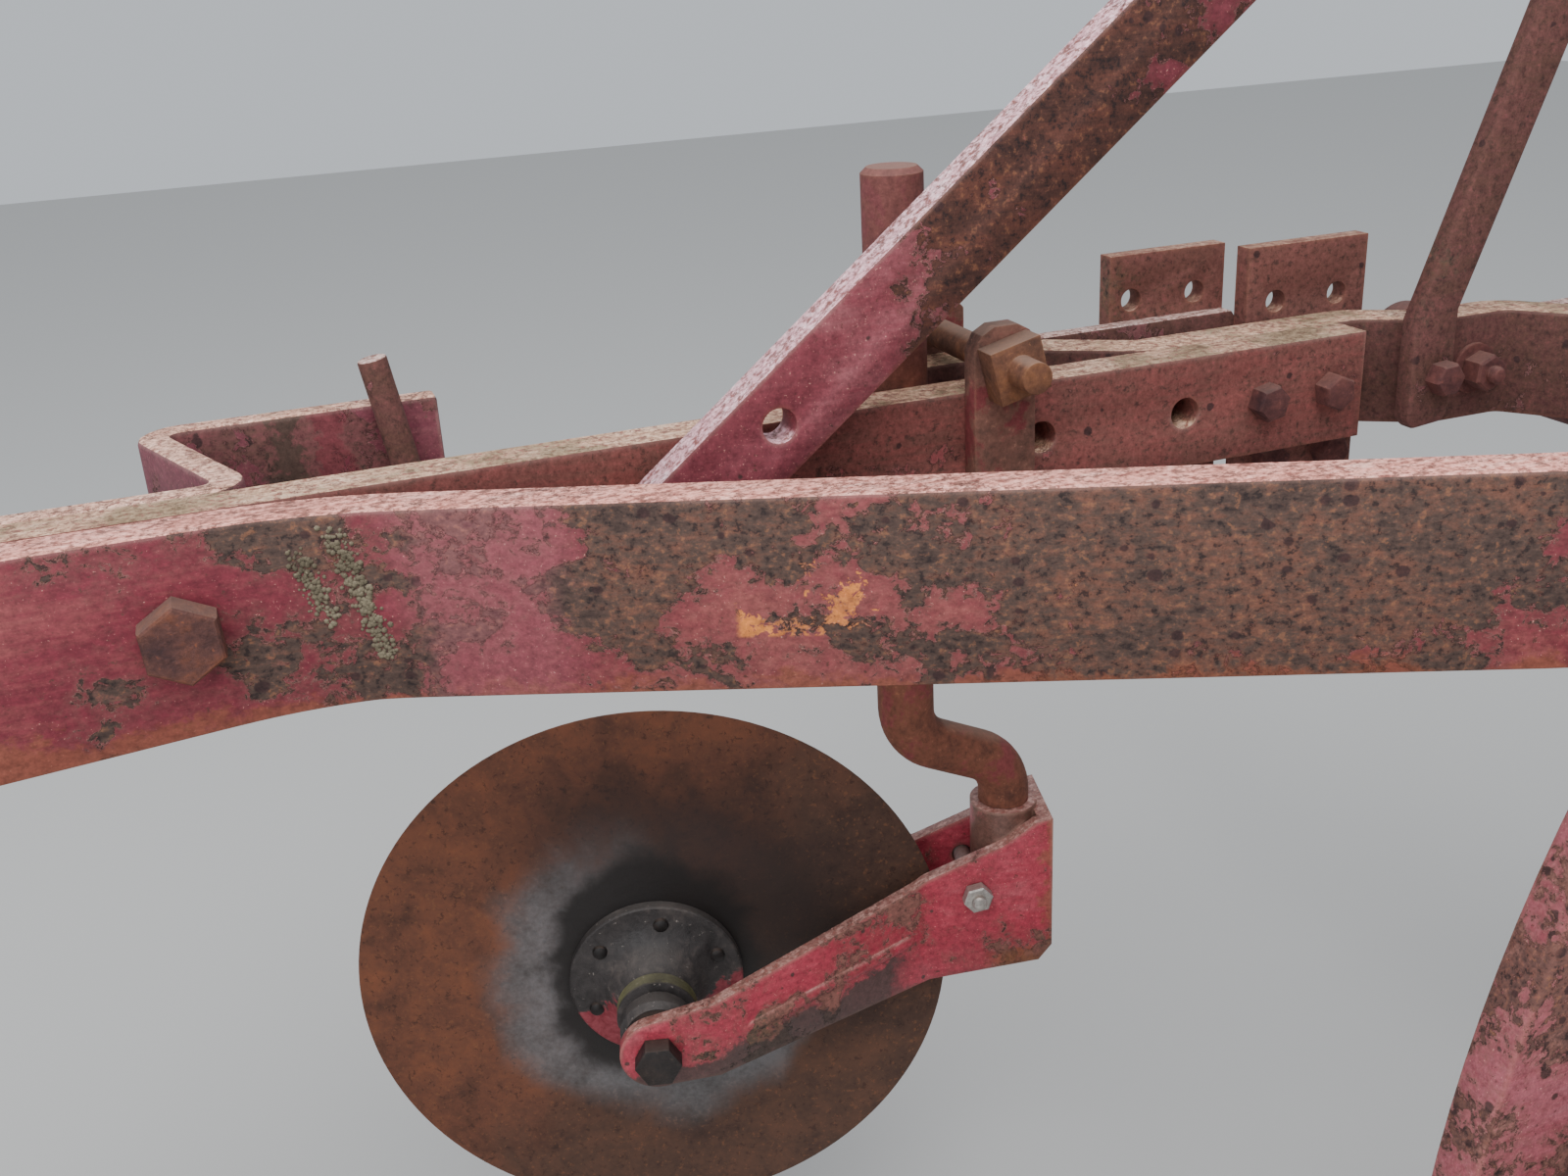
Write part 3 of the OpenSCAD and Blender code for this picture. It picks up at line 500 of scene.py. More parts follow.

# %% [markdown]
# ## The disc
#
# The coulter disc is orange-brown at the rim, blue-grey where the soil kept the steel
# bright for longest, and black with grease round the hub. These are rings about the
# axle, so the material measures the distance from the axle's middle and lets noise
# break the rings up. The disc is darker from the hub towards its upper front, and the
# blue-grey shows best on the other side. The lower front is darker and browner than the
# rest. Each disc has its own centre.

# %% disc material


def disc_finish(name, station):
    centre = swung(station, -TRAIL, 0, -HUB_DROP)
    # the way in which the disc grows darker from the hub
    darker_way = (AHEAD * 0.62 + Vector((0, 0, 0.78))).normalized()
    low_front = AHEAD * 0.8 + Vector((0, 0, -0.6))
    k = Wear(name)
    wide = k.noise(k.v, 9.0, 3.0, 0.5, 0.5)
    ring = k.sums((k.away(centre), 1.0), (wide, 0.08), (k.flakes, 0.02), start=-0.05)
    oily = k.sums((k.along(darker_way), 1.0), (wide, 0.16), (k.flakes, 0.05),
                  start=-0.1 - centre.dot(darker_way))
    front = k.sums((k.along(low_front), 1.0), (wide, 0.2), (k.flakes, 0.06),
                   start=-0.13 - centre.dot(low_front))
    old = k.ramp(k.sums((k.flakes, 0.55), (k.ragged, 0.35), (k.regions, 0.3), start=-0.1),
                 (0.32, "3a2a25"), (0.5, "523b31"), (0.68, "654536"))
    fresh = k.ramp(k.sums((k.flakes, 0.7), (k.ragged, 0.4), start=-0.05),
                   (0.34, "52362c"), (0.5, "6c4434"), (0.7, "824f38"))
    patches = k.noise(k.v, 24.0, 6.0, 0.65, 0.4)
    # darker, browner rust towards the lower front
    rust = k.mix(k.step(k.sums((front, 6.0), (patches, 1.0)), 0.75, 0.1), old, fresh)
    rust = k.dab(rust, k.specks, 0.57, 0.66, 0.45, "86583c")
    rust = k.dab(rust, k.crumbs, 0.44, 0.37, 0.6, "35241f")
    steel = k.ramp(k.sums((k.flakes, 0.6), (k.specks, 0.4)), (0.35, "494746"), (0.6, "6e6e70"))
    bright = k.times(k.step(ring, 0.114, 0.086), k.step(oily, 0.07, 0.02))
    colour = k.mix(k.times(bright, 0.85), rust, steel)
    # darker from the hub towards the upper front
    dark = k.times(k.step(oily, 0.0, 0.06, 0.0, 0.8), k.step(ring, 0.165, 0.10))
    colour = k.mix(dark, colour, hue("2e2523"))
    colour = k.dab(colour, ring, 0.082, 0.064, 0.95, "1f1b1a")
    k.relief(k.sums((k.specks, 0.5), (k.grit, 0.3), (k.flakes, 0.3)), 0.0004)
    return k.finish(colour, k.step(ring, 0.07, 0.12, 0.5, 0.8))


print("disc finish ready")

# %% [markdown]
# ## The hub
#
# Grease from the axle has blackened the hub. Its flange shows the last red paint low
# on both sides, and on the turned neck black bands alternate with old grease, which
# has gone yellow-green. The bands follow the axle, so they are measured along it.

# %% hub material


def hub_finish(name, station):
    centre = swung(station, -TRAIL, 0, -HUB_DROP)
    k = Wear(name, seed=3.3)
    grime = k.ramp(k.sums((k.flakes, 0.6), (k.ragged, 0.5), start=-0.05),
                   (0.34, "1f1b1b"), (0.52, "3b3635"), (0.72, "625853"))
    low = k.sums((k.along((0, 0, -1)), 1.0), (k.flakes, 0.09), (k.ragged, 0.03),
                 start=centre.z - 0.055)
    red = k.mix(k.step(k.ragged, 0.35, 0.65), hue("7c1d2b"), hue("99404a"))
    colour = k.mix(k.step(low, 0.012, 0.018, 0.0, 0.9), grime, red)
    out = k.sums((k.along(-ASIDE), 1.0), (k.flakes, 0.004), start=centre.dot(ASIDE) - 0.002)
    inner = k.math("ABSOLUTE", out)
    grease = k.ramp(k.sums((k.flakes, 0.6), (k.specks, 0.4)), (0.35, "3d3c28"), (0.65, "77744e"))
    band = k.times(k.step(inner, 0.033, 0.035), k.step(inner, 0.0435, 0.0415))
    smear = k.times(band, k.step(k.flakes, 0.3, 0.42))
    colour = k.mix(smear, colour, grease)
    colour = k.dab(colour, k.facing_up(), 0.5, 0.95, 0.25, "7d756f")
    colour = k.dab(colour, k.specks, 0.64, 0.7, 0.7, "9a9088")
    k.relief(k.sums((k.ragged, 0.6), (k.grit, 0.3), (k.flakes, 0.5)), 0.0009)
    return k.finish(colour, k.step(k.flakes, 0.3, 0.6, 0.42, 0.7), specular=0.5)


print("hub finish ready")

# %% [markdown]
# ## Finishes by piece
#
# Fades and stains start at one place and are whole at another. `grows` turns two such
# places into what the materials read, and `from_x` and `from_z` do it for the beams'
# own millimetres: `from_x(140, 90)` starts at X 140 and is whole at X 90, further back.

# %% places for fades and stains
FORWARD, BACK, UP, DOWN = (1, 0, 0), (-1, 0, 0), (0, 0, 1), (0, 0, -1)


def grows(direction, start, whole):
    way = Vector(direction)
    return tuple(way), way.dot(start), way.dot(whole)


def from_x(start, whole):
    return grows(FORWARD if whole > start else BACK, at(start, 0, 0), at(whole, 0, 0))


def from_z(start, whole):
    return grows(UP if whole > start else DOWN, at(0, 0, start), at(0, 0, whole))


print("from X 140 back to X 90:", [round(v, 3) for v in from_x(140, 90)[1:]])

# %% [markdown]
# The near beam is the reddest at its back end, has a pinker stretch ahead of the moss
# and is orange along its lower edge. Its strip of orange paint has flaked off almost
# everywhere. The other bars are duller, with moss on their tops. Dirt runs down the
# rear bracket in one dark band.

# %% finishes of the painted bars
CRIMSON = ("5c1c28", "782c38", "985450")
DULL = ("6c2d34", "7c4046", "90605c")
MOSSY_TOP = ("906e58", "d4aa8e", "ecccb4")
ORANGE_FROM, ORANGE_TO, ORANGE_SHARE = at(172, -400, -64), at(404, 100, -24), 0.86
FINISH = {
    "right_beam": old_paint(
        "beam_paint_right", 0.3, 0.25, CRIMSON, thin="80504a", moss=0.03, scabs=0.5,
        rust=("362a29", "55433c", "734d40", "8d5b42"), top=("a8665a", "f8aa9a", "ffc8b8"),
        fades=((*from_x(140, 90), 0.19), (*from_x(420, 560), 0.25)),
        stains=((*from_z(-84, -92), "8a4f3a", 0.7, from_z(-125, -108)),
                (*from_x(32, 48), "a8646a", 0.35, from_x(115, 90))),
        mark=(ORANGE_FROM, ORANGE_TO, ORANGE_SHARE), grain=(0.8, 1, 1), seed=0.31),
    "beam": old_paint(
        "beam_paint", 0.28, 0.75, ("84383f", "94484d", "a6605f"), thin="8e4e4a",
        film_shade="794b45", moss=0.4, top=MOSSY_TOP, wear=0.4, scabs=0.12, seed=1.7),
    "cross": old_paint(
        "cross_beam_paint", 0.2, 0.75, ("5f2c32", "6c3a3e", "7c4c4c"), thin="643c3a",
        film_shade="573a34", moss=0.4, top=MOSSY_TOP, wear=0.4, scabs=0.12, seed=3.9),
    "front_beam": old_paint(
        "beam_paint_front", 0.6, 0.55, ("8c3c46", "aa626a", "bf8a8e"), thin="92655c",
        rust=("463432", "6a4a44", "86564a", "9a5c46"), scabs=0.6, pocks=(115.0, 0.36, 0.4),
        top=("86685c", "c39f95", "dcc4ba"), edge=("b87a6a", "9c5038"), seed=2.9),
    "brace": old_paint(
        "brace_paint", 0.28, 0.35, ("75303a", "8a434c", "a26468"), thin="6a403b",
        film_shade="5a3a34", moss=0.03, rust=("3a2826", "543730", "673f35", "84562f"),
        top=("b88088", "ffc8d0", "ffe8ee"),
        fades=((*from_x(300, 250), 0.4), (*from_x(350, 420), 0.28)), seed=4.3),
    "arm": old_paint(
        "mast_arm_paint", 0.25, 0.7, ("652c36", "743e44", "865454"), thin="6c423f",
        film_shade="5e3f38", wear=0.35, edge=("8e6058", "6e443e"), seed=5.2),
    "bracket": old_paint(
        "bracket_paint", 0.5, 0.65, ("602a38", "783c48", "8e585c"), thin="784648",
        film_shade="644440", top=("a07460", "ecb8a0", "fcd4c0"), moss=0.15,
        stains=((*from_x(-8, -4), "4c3c34", 0.9, from_x(17, 13)),
                (*from_x(13, 16), "7a2c3a", 0.5, from_x(40, 35))),
        edge=("c8a79a", "8a6252"), seed=6.1),
    "plate": old_paint(
        "plate_paint", 0.16, 0.8, DULL, thin="82504a", film_shade="744a43", scabs=0.12,
        wear=0.4, edge=("b0765e", "7c5244"), top=("7d5c4c", "a8806c", "c09c88"), seed=7.7),
}
print("painted:", ", ".join(FINISH))

# %% [markdown]
# The small iron is plain rust in different stages. The stems are redder higher up, and
# only the bolts through the yokes are new enough to be zinc. Dry moss breaks up like
# rust, so it uses the same patterns in its own colours.

# %% finishes of the small iron
FINISH.update({
    "strap": plain_rust("strap_rust", "4a3731", "785146", "966857", red=0.5),
    "fitting": plain_rust("fitting_rust", "342226", "5e3836", "7c4a42", dust=0.15,
                          edge=("8e6258", "6e443a")),
    "nut": plain_rust("nut_rust", "3f2c26", "6e4938", "8f5e3e", edge=("a07352", "6c4432")),
    "scab": plain_rust("old_bolt_rust", "34262a", "603e38", "8a5036", depth=0.0016, dust=0.25,
                       edge=("9a6e60", "a8602f"), seed=0.8),
    "stem": plain_rust("stem_rust", "4a3029", "764838", "8e5a44", streak=(200, 200, 30), red=0.4,
                       red_colour="7e3a3e", stains=((*from_z(-20, 40), "7c4a4c", 0.6),)),
    "oily": plain_rust("oily_steel", "141212", "262120", "3c302b", rough=0.5, dust=0.1,
                       edge=("4c423c", "322a26")),
    "work": plain_rust("soil_worn_steel", "3f322b", "6d4f3f", "8c6a52", streak=(12, 160, 160),
                       rough=0.6, sheen=0.25, depth=0.0003),
    "zinc": plain_rust("zinc_bolt", "75706c", "a5a09a", "bdb8b2", rough=0.45, sheen=0.6,
                       depth=0.0002, edge=("d8d4ce", "8c8782")),
    "moss": plain_rust("dry_moss", "38332a", "665d4b", "938972", rough=0.95, dust=0.2,
                       edge=("968c78", "4a4234")),
})
print(len(FINISH), "finishes so far")

# %% [markdown]
# Each coulter has its own disc, hub and yoke finish, because their patterns are laid
# out from its own axle. The yoke keeps more gloss than the beams. Below the rib its
# arms are greasy, its front edge and lower front corner are brown, and so is the
# collar that the spindle runs in.

# %% finishes of the coulters
ARM_SLOPE = 27 / 151
COLLAR_WORN = 0.0235
for station in STATIONS:
    across_arm = Vector((0, 0, 1)) - AHEAD * ARM_SLOPE

    def on_yoke(x, z=0):
        return swung(station, x, 0, z)

    FINISH["disc_" + station] = disc_finish("disc_rust_" + station, station)
    FINISH["hub_" + station] = hub_finish("hub_grease_" + station, station)
    FINISH["yoke_" + station] = old_paint(
        "yoke_paint_" + station, 0.64, 0.6, ("8a2435", "a83e4c", "b8646a"), thin="8a5850",
        rough=0.42, top=("7c4a46", "a87a70", "c29a90"), moss=0.0, wear=0.85,
        edge=("a98274", "5e4a42"), scabs=0.2,
        stains=((*grows(-across_arm, on_yoke(-110, -358), on_yoke(-110, -364)), "433a36", 0.9,
                 grows(-AHEAD, on_yoke(-62), on_yoke(-84))),
                (*grows(AHEAD, on_yoke(17), on_yoke(23)), "8e5844", 0.7, from_z(-400, -380)),
                (*from_z(-352, -362), "86553a", 0.75, grows(AHEAD, on_yoke(-20), on_yoke(0)))),
        round_patch=(on_yoke(0), (1, 1, 0), COLLAR_WORN, "5c4438"), seed=9.2)
print(len(FINISH), "finishes")

# %% [markdown]
# ## Rolled and forged edges
#
# No bar leaves the mill with knife edges. Each CAD piece is copied, its coplanar
# triangles are joined to clean faces, and a bevel rounds the edges by the amount in
# the table: 2 to 3 mm on heavy bar, less on plate. The copy then stands for the CAD
# piece. Smooth shading stops at creases, so that flats stay flat.

# %% mesh helpers
SAME_POINT = 2e-5
FLAT_TURN, ROLL_FROM, CREASE = math.radians(0.6), math.radians(32), math.radians(34)


def clean_copy(node):
    """A mesh of the node with its loose triangles merged into faces."""
    form = bmesh.new()
    form.from_mesh(frame["nodes"][node].data)
    bmesh.ops.remove_doubles(form, verts=form.verts, dist=SAME_POINT)
    bmesh.ops.dissolve_limit(form, angle_limit=FLAT_TURN, verts=form.verts, edges=form.edges)
    return form


def as_mesh(form, name):
    mesh = bpy.data.meshes.new(name)
    form.to_mesh(mesh)
    form.free()
    return mesh


def smooth_by_angle(mesh, angle):
    form = bmesh.new()
    form.from_mesh(mesh)
    for face in form.faces:
        face.smooth = True
    for edge in form.edges:
        edge.smooth = len(edge.link_faces) == 2 and edge.calc_face_angle(0) < angle
    form.to_mesh(mesh)
    form.free()


print("smooth below", round(math.degrees(CREASE)), "degrees")

# %% [markdown]
# `baked` keeps what a modifier has made as a plain mesh, and `as_piece` makes an
# object of a finished mesh, gives it its finish and hangs it on the empty of its body.

# %% piece helpers


def as_piece(name, mesh, body, finish):
    """An object at the origin that rides on its body."""
    piece = bpy.data.objects.new(name, mesh)
    scene.collection.objects.link(piece)
    mesh.materials.clear()
    mesh.materials.append(finish)
    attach(piece, body)
    return piece


def baked(piece):
    """The evaluated result of a piece's modifiers as a plain mesh."""
    bpy.context.view_layer.update()
    graph = bpy.context.evaluated_depsgraph_get()
    return bpy.data.meshes.new_from_object(piece.evaluated_get(graph))


def rolled(node, edge_mm, finish):
    """Replaces a CAD node by a copy with rounded edges."""
    mesh = as_mesh(clean_copy(node), node + "_rolled")
    draft = bpy.data.objects.new(node + "_draft", mesh)
    scene.collection.objects.link(draft)
    if edge_mm:
        bevel = draft.modifiers.new("edges", "BEVEL")
        bevel.width = edge_mm * MM
        bevel.segments = 2
        bevel.limit_method = "ANGLE"
        bevel.angle_limit = ROLL_FROM
        bevel.miter_outer = "MITER_ARC"
    final = baked(draft)
    final.name = node + "_rolled"
    bpy.data.objects.remove(draft)
    smooth_by_angle(final, CREASE)
    piece = as_piece(node + "_rolled", final, BODY_OF[node], FINISH[finish])
    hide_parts(node)
    return piece


print("piece helpers ready")

# %% [markdown]
# The table gives each node its edge radius in millimetres and its finish. The discs,
# hubs, shares, moldboards and stays keep the edges that the CAD gives them.

# %% dress the solids
EDGES = {
    "right_beam": (2.6, "right_beam"), "main_beam": (2.4, "beam"),
    "front_beam": (2.6, "front_beam"), "cross_beam": (2.4, "cross"), "hitch_arm": (1.6, "arm"),
    "clamp_plate_rear": (1.2, "plate"), "clamp_plate_front": (1.2, "plate"),
    "rear_brace": (2.2, "brace"), "brace_packer": (1.0, "beam"),
    "mast_leg_left": (2.2, "arm"), "mast_leg_right": (1.5, "brace"),
    "mast_ear_left": (1.5, "brace"), "mast_ear_right": (1.5, "brace"),
    "mast_spacers": (0.6, "fitting"), "cross_shaft": (1.2, "fitting"),
    "shaft_bracket_left": (1.5, "beam"), "shaft_bracket_right": (1.5, "front_beam"),
    "rear_bracket": (2.4, "bracket"), "bracket_doubler": (1.2, "bracket"),
    "bracket_pin": (1.2, "arm"),
}
# the pieces that come twice, with * in the finish where each station has its own
for part, edge_mm, finish in [
    ("clamp", 1.8, "strap"), ("clamp_bolts", 1.6, "nut"), ("yoke", 1.2, "yoke_*"),
    ("axle", 1.4, "oily"), ("hub", 0.0, "hub_*"), ("disc", 0.0, "disc_*"),
    ("frog", 1.5, "brace"), ("moldboard", 0.0, "work"), ("share", 0.0, "work"),
    ("landside", 1.2, "work"), ("stay", 0.0, "brace"),
]:
    for which in STATIONS:
        EDGES[which + "_" + part] = (edge_mm, finish.replace("*", which))
triangles = 0
for node, (edge_mm, finish) in EDGES.items():
    piece = rolled(node, edge_mm, finish)
    triangles += sum(len(p.vertices) - 2 for p in piece.data.polygons)
print("dressed", len(EDGES), "nodes,", triangles, "triangles")

# %% [markdown]
# ## The cranked stems
#
# A smith bends the coulter's stem hot, so its two bends run into each other on a
# slant. The CAD piece squares them off. Here the stem is drawn along its real centre
# line instead: rings of points are set square to the line, and each takes the radius
# that the rod has there, down to the spindle with its keeper.

# %% the line of a stem
STEM_TOP, STEM_CHAMFER = 110.0, 3.0
STEM_R, CRANK_R, SPINDLE_R, KEEPER_R = 16.0, 15.0, 12.5, 15.0
BEND_R, BEND_ANGLE, THROW = 30.0, math.radians(64), 62.0
BEND_TOP, COLLAR_TOP, COLLAR_BOTTOM = -192.0, -266.0, -345.0
PLAY, KEEPER_H, SPINDLE_END = 0.4, 10.0, 14.0
RING_SIDES, BEND_STEPS = 32, 10


def stem_line():
    """(x, z, lean from upright, radius) down the stem."""
    line = [(0, STEM_TOP, 0, STEM_R - STEM_CHAMFER), (0, STEM_TOP - STEM_CHAMFER, 0, STEM_R),
            (0, BEND_TOP, 0, STEM_R)]
    drop = 2 * BEND_R * math.sin(BEND_ANGLE)
    run = THROW - 2 * BEND_R * (1 - math.cos(BEND_ANGLE))
    foot = BEND_TOP - drop - run / math.tan(BEND_ANGLE)
    for i in range(1, BEND_STEPS + 1):
        a = BEND_ANGLE * i / BEND_STEPS
        radius = STEM_R + (CRANK_R - STEM_R) * i / BEND_STEPS
        line.append((BEND_R * (1 - math.cos(a)), BEND_TOP - BEND_R * math.sin(a), a, radius))
    for i in range(BEND_STEPS, -1, -1):
        a = BEND_ANGLE * i / BEND_STEPS
        line.append((THROW - BEND_R * (1 - math.cos(a)), foot + BEND_R * math.sin(a), a, CRANK_R))
    shoulder, keeper = COLLAR_TOP + PLAY, COLLAR_BOTTOM - PLAY
    for z, radius in ((shoulder, CRANK_R), (shoulder, SPINDLE_R), (keeper, SPINDLE_R),
                      (keeper, KEEPER_R), (keeper - KEEPER_H, KEEPER_R),
                      (keeper - KEEPER_H, SPINDLE_R), (COLLAR_BOTTOM - SPINDLE_END, SPINDLE_R)):
        line.append((THROW, z, 0, radius))
    return line


print("stem line:", len(stem_line()), "rings")

# %% [markdown]
# `skinned` joins rings of points into a closed skin. The bolts and nuts use it again.

# %% drawn stems


def skinned(rings, name):
    """A closed mesh over rings of places, with equally many places in each."""
    form = bmesh.new()
    rows = [[form.verts.new(place) for place in ring] for ring in rings]
    for upper, lower in zip(rows, rows[1:]):
        for i in range(len(upper)):
            j = (i + 1) % len(upper)
            form.faces.new((upper[i], upper[j], lower[j], lower[i]))
    form.faces.new(list(reversed(rows[0])))
    form.faces.new(rows[-1])
    bmesh.ops.recalc_face_normals(form, faces=form.faces)
    return as_mesh(form, name)


def drawn_stem(node, x, y):
    beside = Vector((0, 1, 0))
    angles = [2 * math.pi * i / RING_SIDES for i in range(RING_SIDES)]
    rings = []
    for dx, z, lean, radius in stem_line():
        across = Vector((math.cos(lean), 0, math.sin(lean)))
        centre = at(x + dx, y, z)
        rings.append([centre + (across * math.cos(a) + beside * math.sin(a)) * radius * MM
                      for a in angles])
    mesh = skinned(rings, node + "_drawn")
    smooth_by_angle(mesh, CREASE)
    piece = as_piece(node + "_drawn", mesh, BODY_OF[node], FINISH["stem"])
    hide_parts(node)
    return piece


for which, (x, y) in STATIONS.items():
    stem = drawn_stem(which + "_stem", x - THROW, y)
    print(stem.name, len(stem.data.polygons), "faces")

# %% [markdown]
# ## Bolt heads, nuts and rivets
#
# A plough is bolted together, so heads and nuts repeat everywhere. One turned or
# hexagonal master of each kind is made on the bench, 1 unit across flats, and a small
# Geometry Nodes tree sets a copy on each marked point, turned along the point's axis
# and scaled to its size. The tree joins the copies and gives them their metal.

# %% turned and hexagonal shapes


def turned(profile, sides, squeeze=1.0):
    """Rings of `sides` points from a profile of (radius, height), capped at both ends."""
    rings = []
    for radius, height in profile:
        grow = radius / squeeze
        rings.append([(grow * math.cos(2 * math.pi * i / sides),
                       grow * math.sin(2 * math.pi * i / sides), height)
                      for i in range(sides)])
    return skinned(rings, "turned")


def hexagonal(profile):
    """The profile gives the flats, and a hexagon's corners stand further out."""
    return turned(profile, 6, math.cos(math.pi / 6))


def joined(*meshes):
    form = bmesh.new()
    for mesh in meshes:
        form.from_mesh(mesh)
    return as_mesh(form, "joined")


def raised(profile, rise):
    return [(r, h + rise) for r, h in profile]


print("turning helpers ready")

# %% [markdown]
# The profiles are rows of (radius, height), with half the width across flats for radius.
# A nut has the bolt's threaded end in it, and the old ones keep their washer.

# %% masters
HEX_HEAD = [(0.5, 0.0), (0.5, 0.50), (0.485, 0.56), (0.44, 0.615), (0.30, 0.645), (0.10, 0.655)]
BIG_HEX = [(0.47, 0.0), (0.5, 0.03), (0.5, 0.36), (0.485, 0.41), (0.455, 0.44), (0.3, 0.45),
           (0.12, 0.445)]
NUT = [(0.44, 0.0), (0.5, 0.05), (0.5, 0.68), (0.44, 0.75), (0.28, 0.76)]
THREADS = [(0.27 if i % 2 else 0.245, 0.78 + 0.04 * i) for i in range(7)]
END = [(0.25, 0.7)] + THREADS + [(0.2, 1.09), (0.08, 1.12)]
WASHER = [(0.78, 0.0), (0.80, 0.02), (0.80, 0.12), (0.78, 0.14)]
DOME = [(0.5, 0.0), (0.49, 0.10), (0.43, 0.22), (0.30, 0.31), (0.12, 0.35)]
FLUSH = [(0.5, 0.0), (0.5, 0.02), (0.47, 0.05), (0.25, 0.055), (0.2, 0.02), (0.1, 0.02)]
LUMP = [(0.5, 0.0), (0.44, 0.2), (0.24, 0.38), (0.06, 0.42)]
LOW_NUT = [(r, h * 0.62) for r, h in NUT]
LOW_END = [(0.28, 0.3), (0.28, 0.66), (0.22, 0.74), (0.08, 0.77)]
SHANK = [(0.5, -4.95), (0.5, 0.0)]
MASTERS = {
    "hex": hexagonal(HEX_HEAD),
    "big_hex": hexagonal(BIG_HEX),
    "washer_nut": joined(turned(WASHER, 20), hexagonal(raised(NUT, 0.14)),
                         turned(raised(END, 0.14), 14)),
    "nut": joined(hexagonal(NUT), turned(END, 14)),
    "low_nut": joined(hexagonal(LOW_NUT), turned(LOW_END, 14)),
    "rivet": turned(DOME, 14),
    "flush": turned(FLUSH, 18),
    "lump": turned(LUMP, 6),
    "shank": turned(SHANK, 16),
}
print("masters:", ", ".join(MASTERS))

# %% [markdown]
# `seat` finds the exact spot: it shoots a ray from a place in front of the piece, as
# a fitter would point a drill, and returns where it lands and which way the surface
# faces. So a head sits flat on a moldboard's curve as well as on a bar. The aims are
# L, R and B, to the left, to the right and back.

# %% seats
SURFACE = {}


def seat(node, start, aim):
    if node not in SURFACE:
        form = bmesh.new()
        form.from_mesh(frame["nodes"][node].data)
        SURFACE[node] = BVHTree.FromBMesh(form)
        form.free()
    spot, normal, _, _ = SURFACE[node].ray_cast(start, Vector(aim).normalized())
    if spot is None:
        raise ValueError("no surface of " + node + " in front of " + str(start))
    return spot, (normal if normal.dot(Vector(aim)) < 0 else -normal)


L, R, B = (0, 1, 0), (0, -1, 0), (-1, 0, 0)
BOLTS = []


def bolt(body, kind, size, node, start, aim, metal="fitting", turn=None):
    spot, normal = seat(node, start, aim)
    BOLTS.append((body, kind, size, spot, normal, metal, turn))


# node, kind, across flats, aim, places in front of it
for node, kind, size, aim, *places in [
    ("rear_bracket", "nut", 30, R, (-56, 90, -46)),
    ("rear_bracket", "nut", 24, R, (-205, 90, -30)),
    ("main_beam", "hex", 24, L, (-205, -60, -30)),
    ("main_beam", "hex", 18, L, (510, -15, -30), (553, -15, -30)),
    ("mast_leg_left", "hex", 17, L, (617.5, -60, -29)),
    ("rear_brace", "hex", 24, L, (156, -60, -42)),
    ("hitch_arm", "hex", 24, L, (860, 60, -52), (915, 60, -74)),
    ("shaft_bracket_left", "nut", 24, R, (860, 140, -52), (915, 140, -74)),
    ("front_beam", "hex", 30, L, (760, -330, -45), (1020, -330, -45)),
    ("shaft_bracket_right", "hex", 24, L, (860, -330, -35), (912, -330, -35)),
    ("right_beam", "nut", 30, R, (760, -150, -45)),
    ("cross_beam", "nut", 24, R, (918, -150, -32)),
    ("mast_leg_right", "hex", 24, R, (788, -150, -30), (786, -150, -62)),
    ("mast_ear_left", "hex", 24, R, (648, 80, 350), (735, 80, 320)),
    ("mast_ear_right", "nut", 24, L, (648, -110, 350), (735, -110, 320)),
    ("clamp_plate_rear", "nut", 19, R, (483, 140, -92), (526, 140, -92)),
    ("clamp_plate_front", "hex", 19, L, (566, 55, -92), (609, 55, -92)),
]:
    for place in places:
        bolt("frame", kind, size, node, at(*place), aim)
bolt("frame", "big_hex", 33, "right_beam", at(-56, -80, -46), L, "scab", turn=math.radians(33))
bolt("frame", "washer_nut", 18.5, "cross_beam", at(665, -27, -31), (-0.46, 0.89, 0), turn=0.4)
print(len(BOLTS), "bolts on the frame")

# %% [markdown]
# The bodies are alike, so their fasteners come from one table that is used twice.
# Flush heads hold the share and the moldboard, as soil would wear any other.

# %% fasteners of the two bodies
POINTS = {"rear": (110.0, 12.0), "front": (940.0, -238.0)}
LEG = {"rear": "right_beam", "front": "front_beam"}
for which, (px, py) in POINTS.items():

    def on_body(x, y, z):
        return at(px + x, py + y, z - 640)

    for x, z in ((-470, 135), (-463, 180)):
        bolt("frame", "hex", 27, LEG[which], on_body(x, 60, z), R)
        bolt("frame", "nut", 27, which + "_frog", on_body(x, -90, z), L)
    for x in (-460, -330, -195):
        bolt("frame", "flush", 26, which + "_landside", on_body(x, 60, 55), R, "work")
    for y, z in ((-60, 60), (-140, 52), (-215, 46)):
        bolt("frame", "flush", 24, which + "_share", on_body(300, y, z), B, "work")
    for y, z in ((-70, 150), (-80, 260), (-230, 210), (-330, 200)):
        bolt("frame", "flush", 24, which + "_moldboard", on_body(300, y, z), B, "work")
print(len(BOLTS), "bolts with those of the bodies")

# %% [markdown]
# On each coulter six rivets hold the hub's flange from either side, and one zinc bolt
# ties the yoke's arms together, with its head on the far arm and a low nut on the
# near one. The rivets ride on the wheel and the bolt on the swivel.

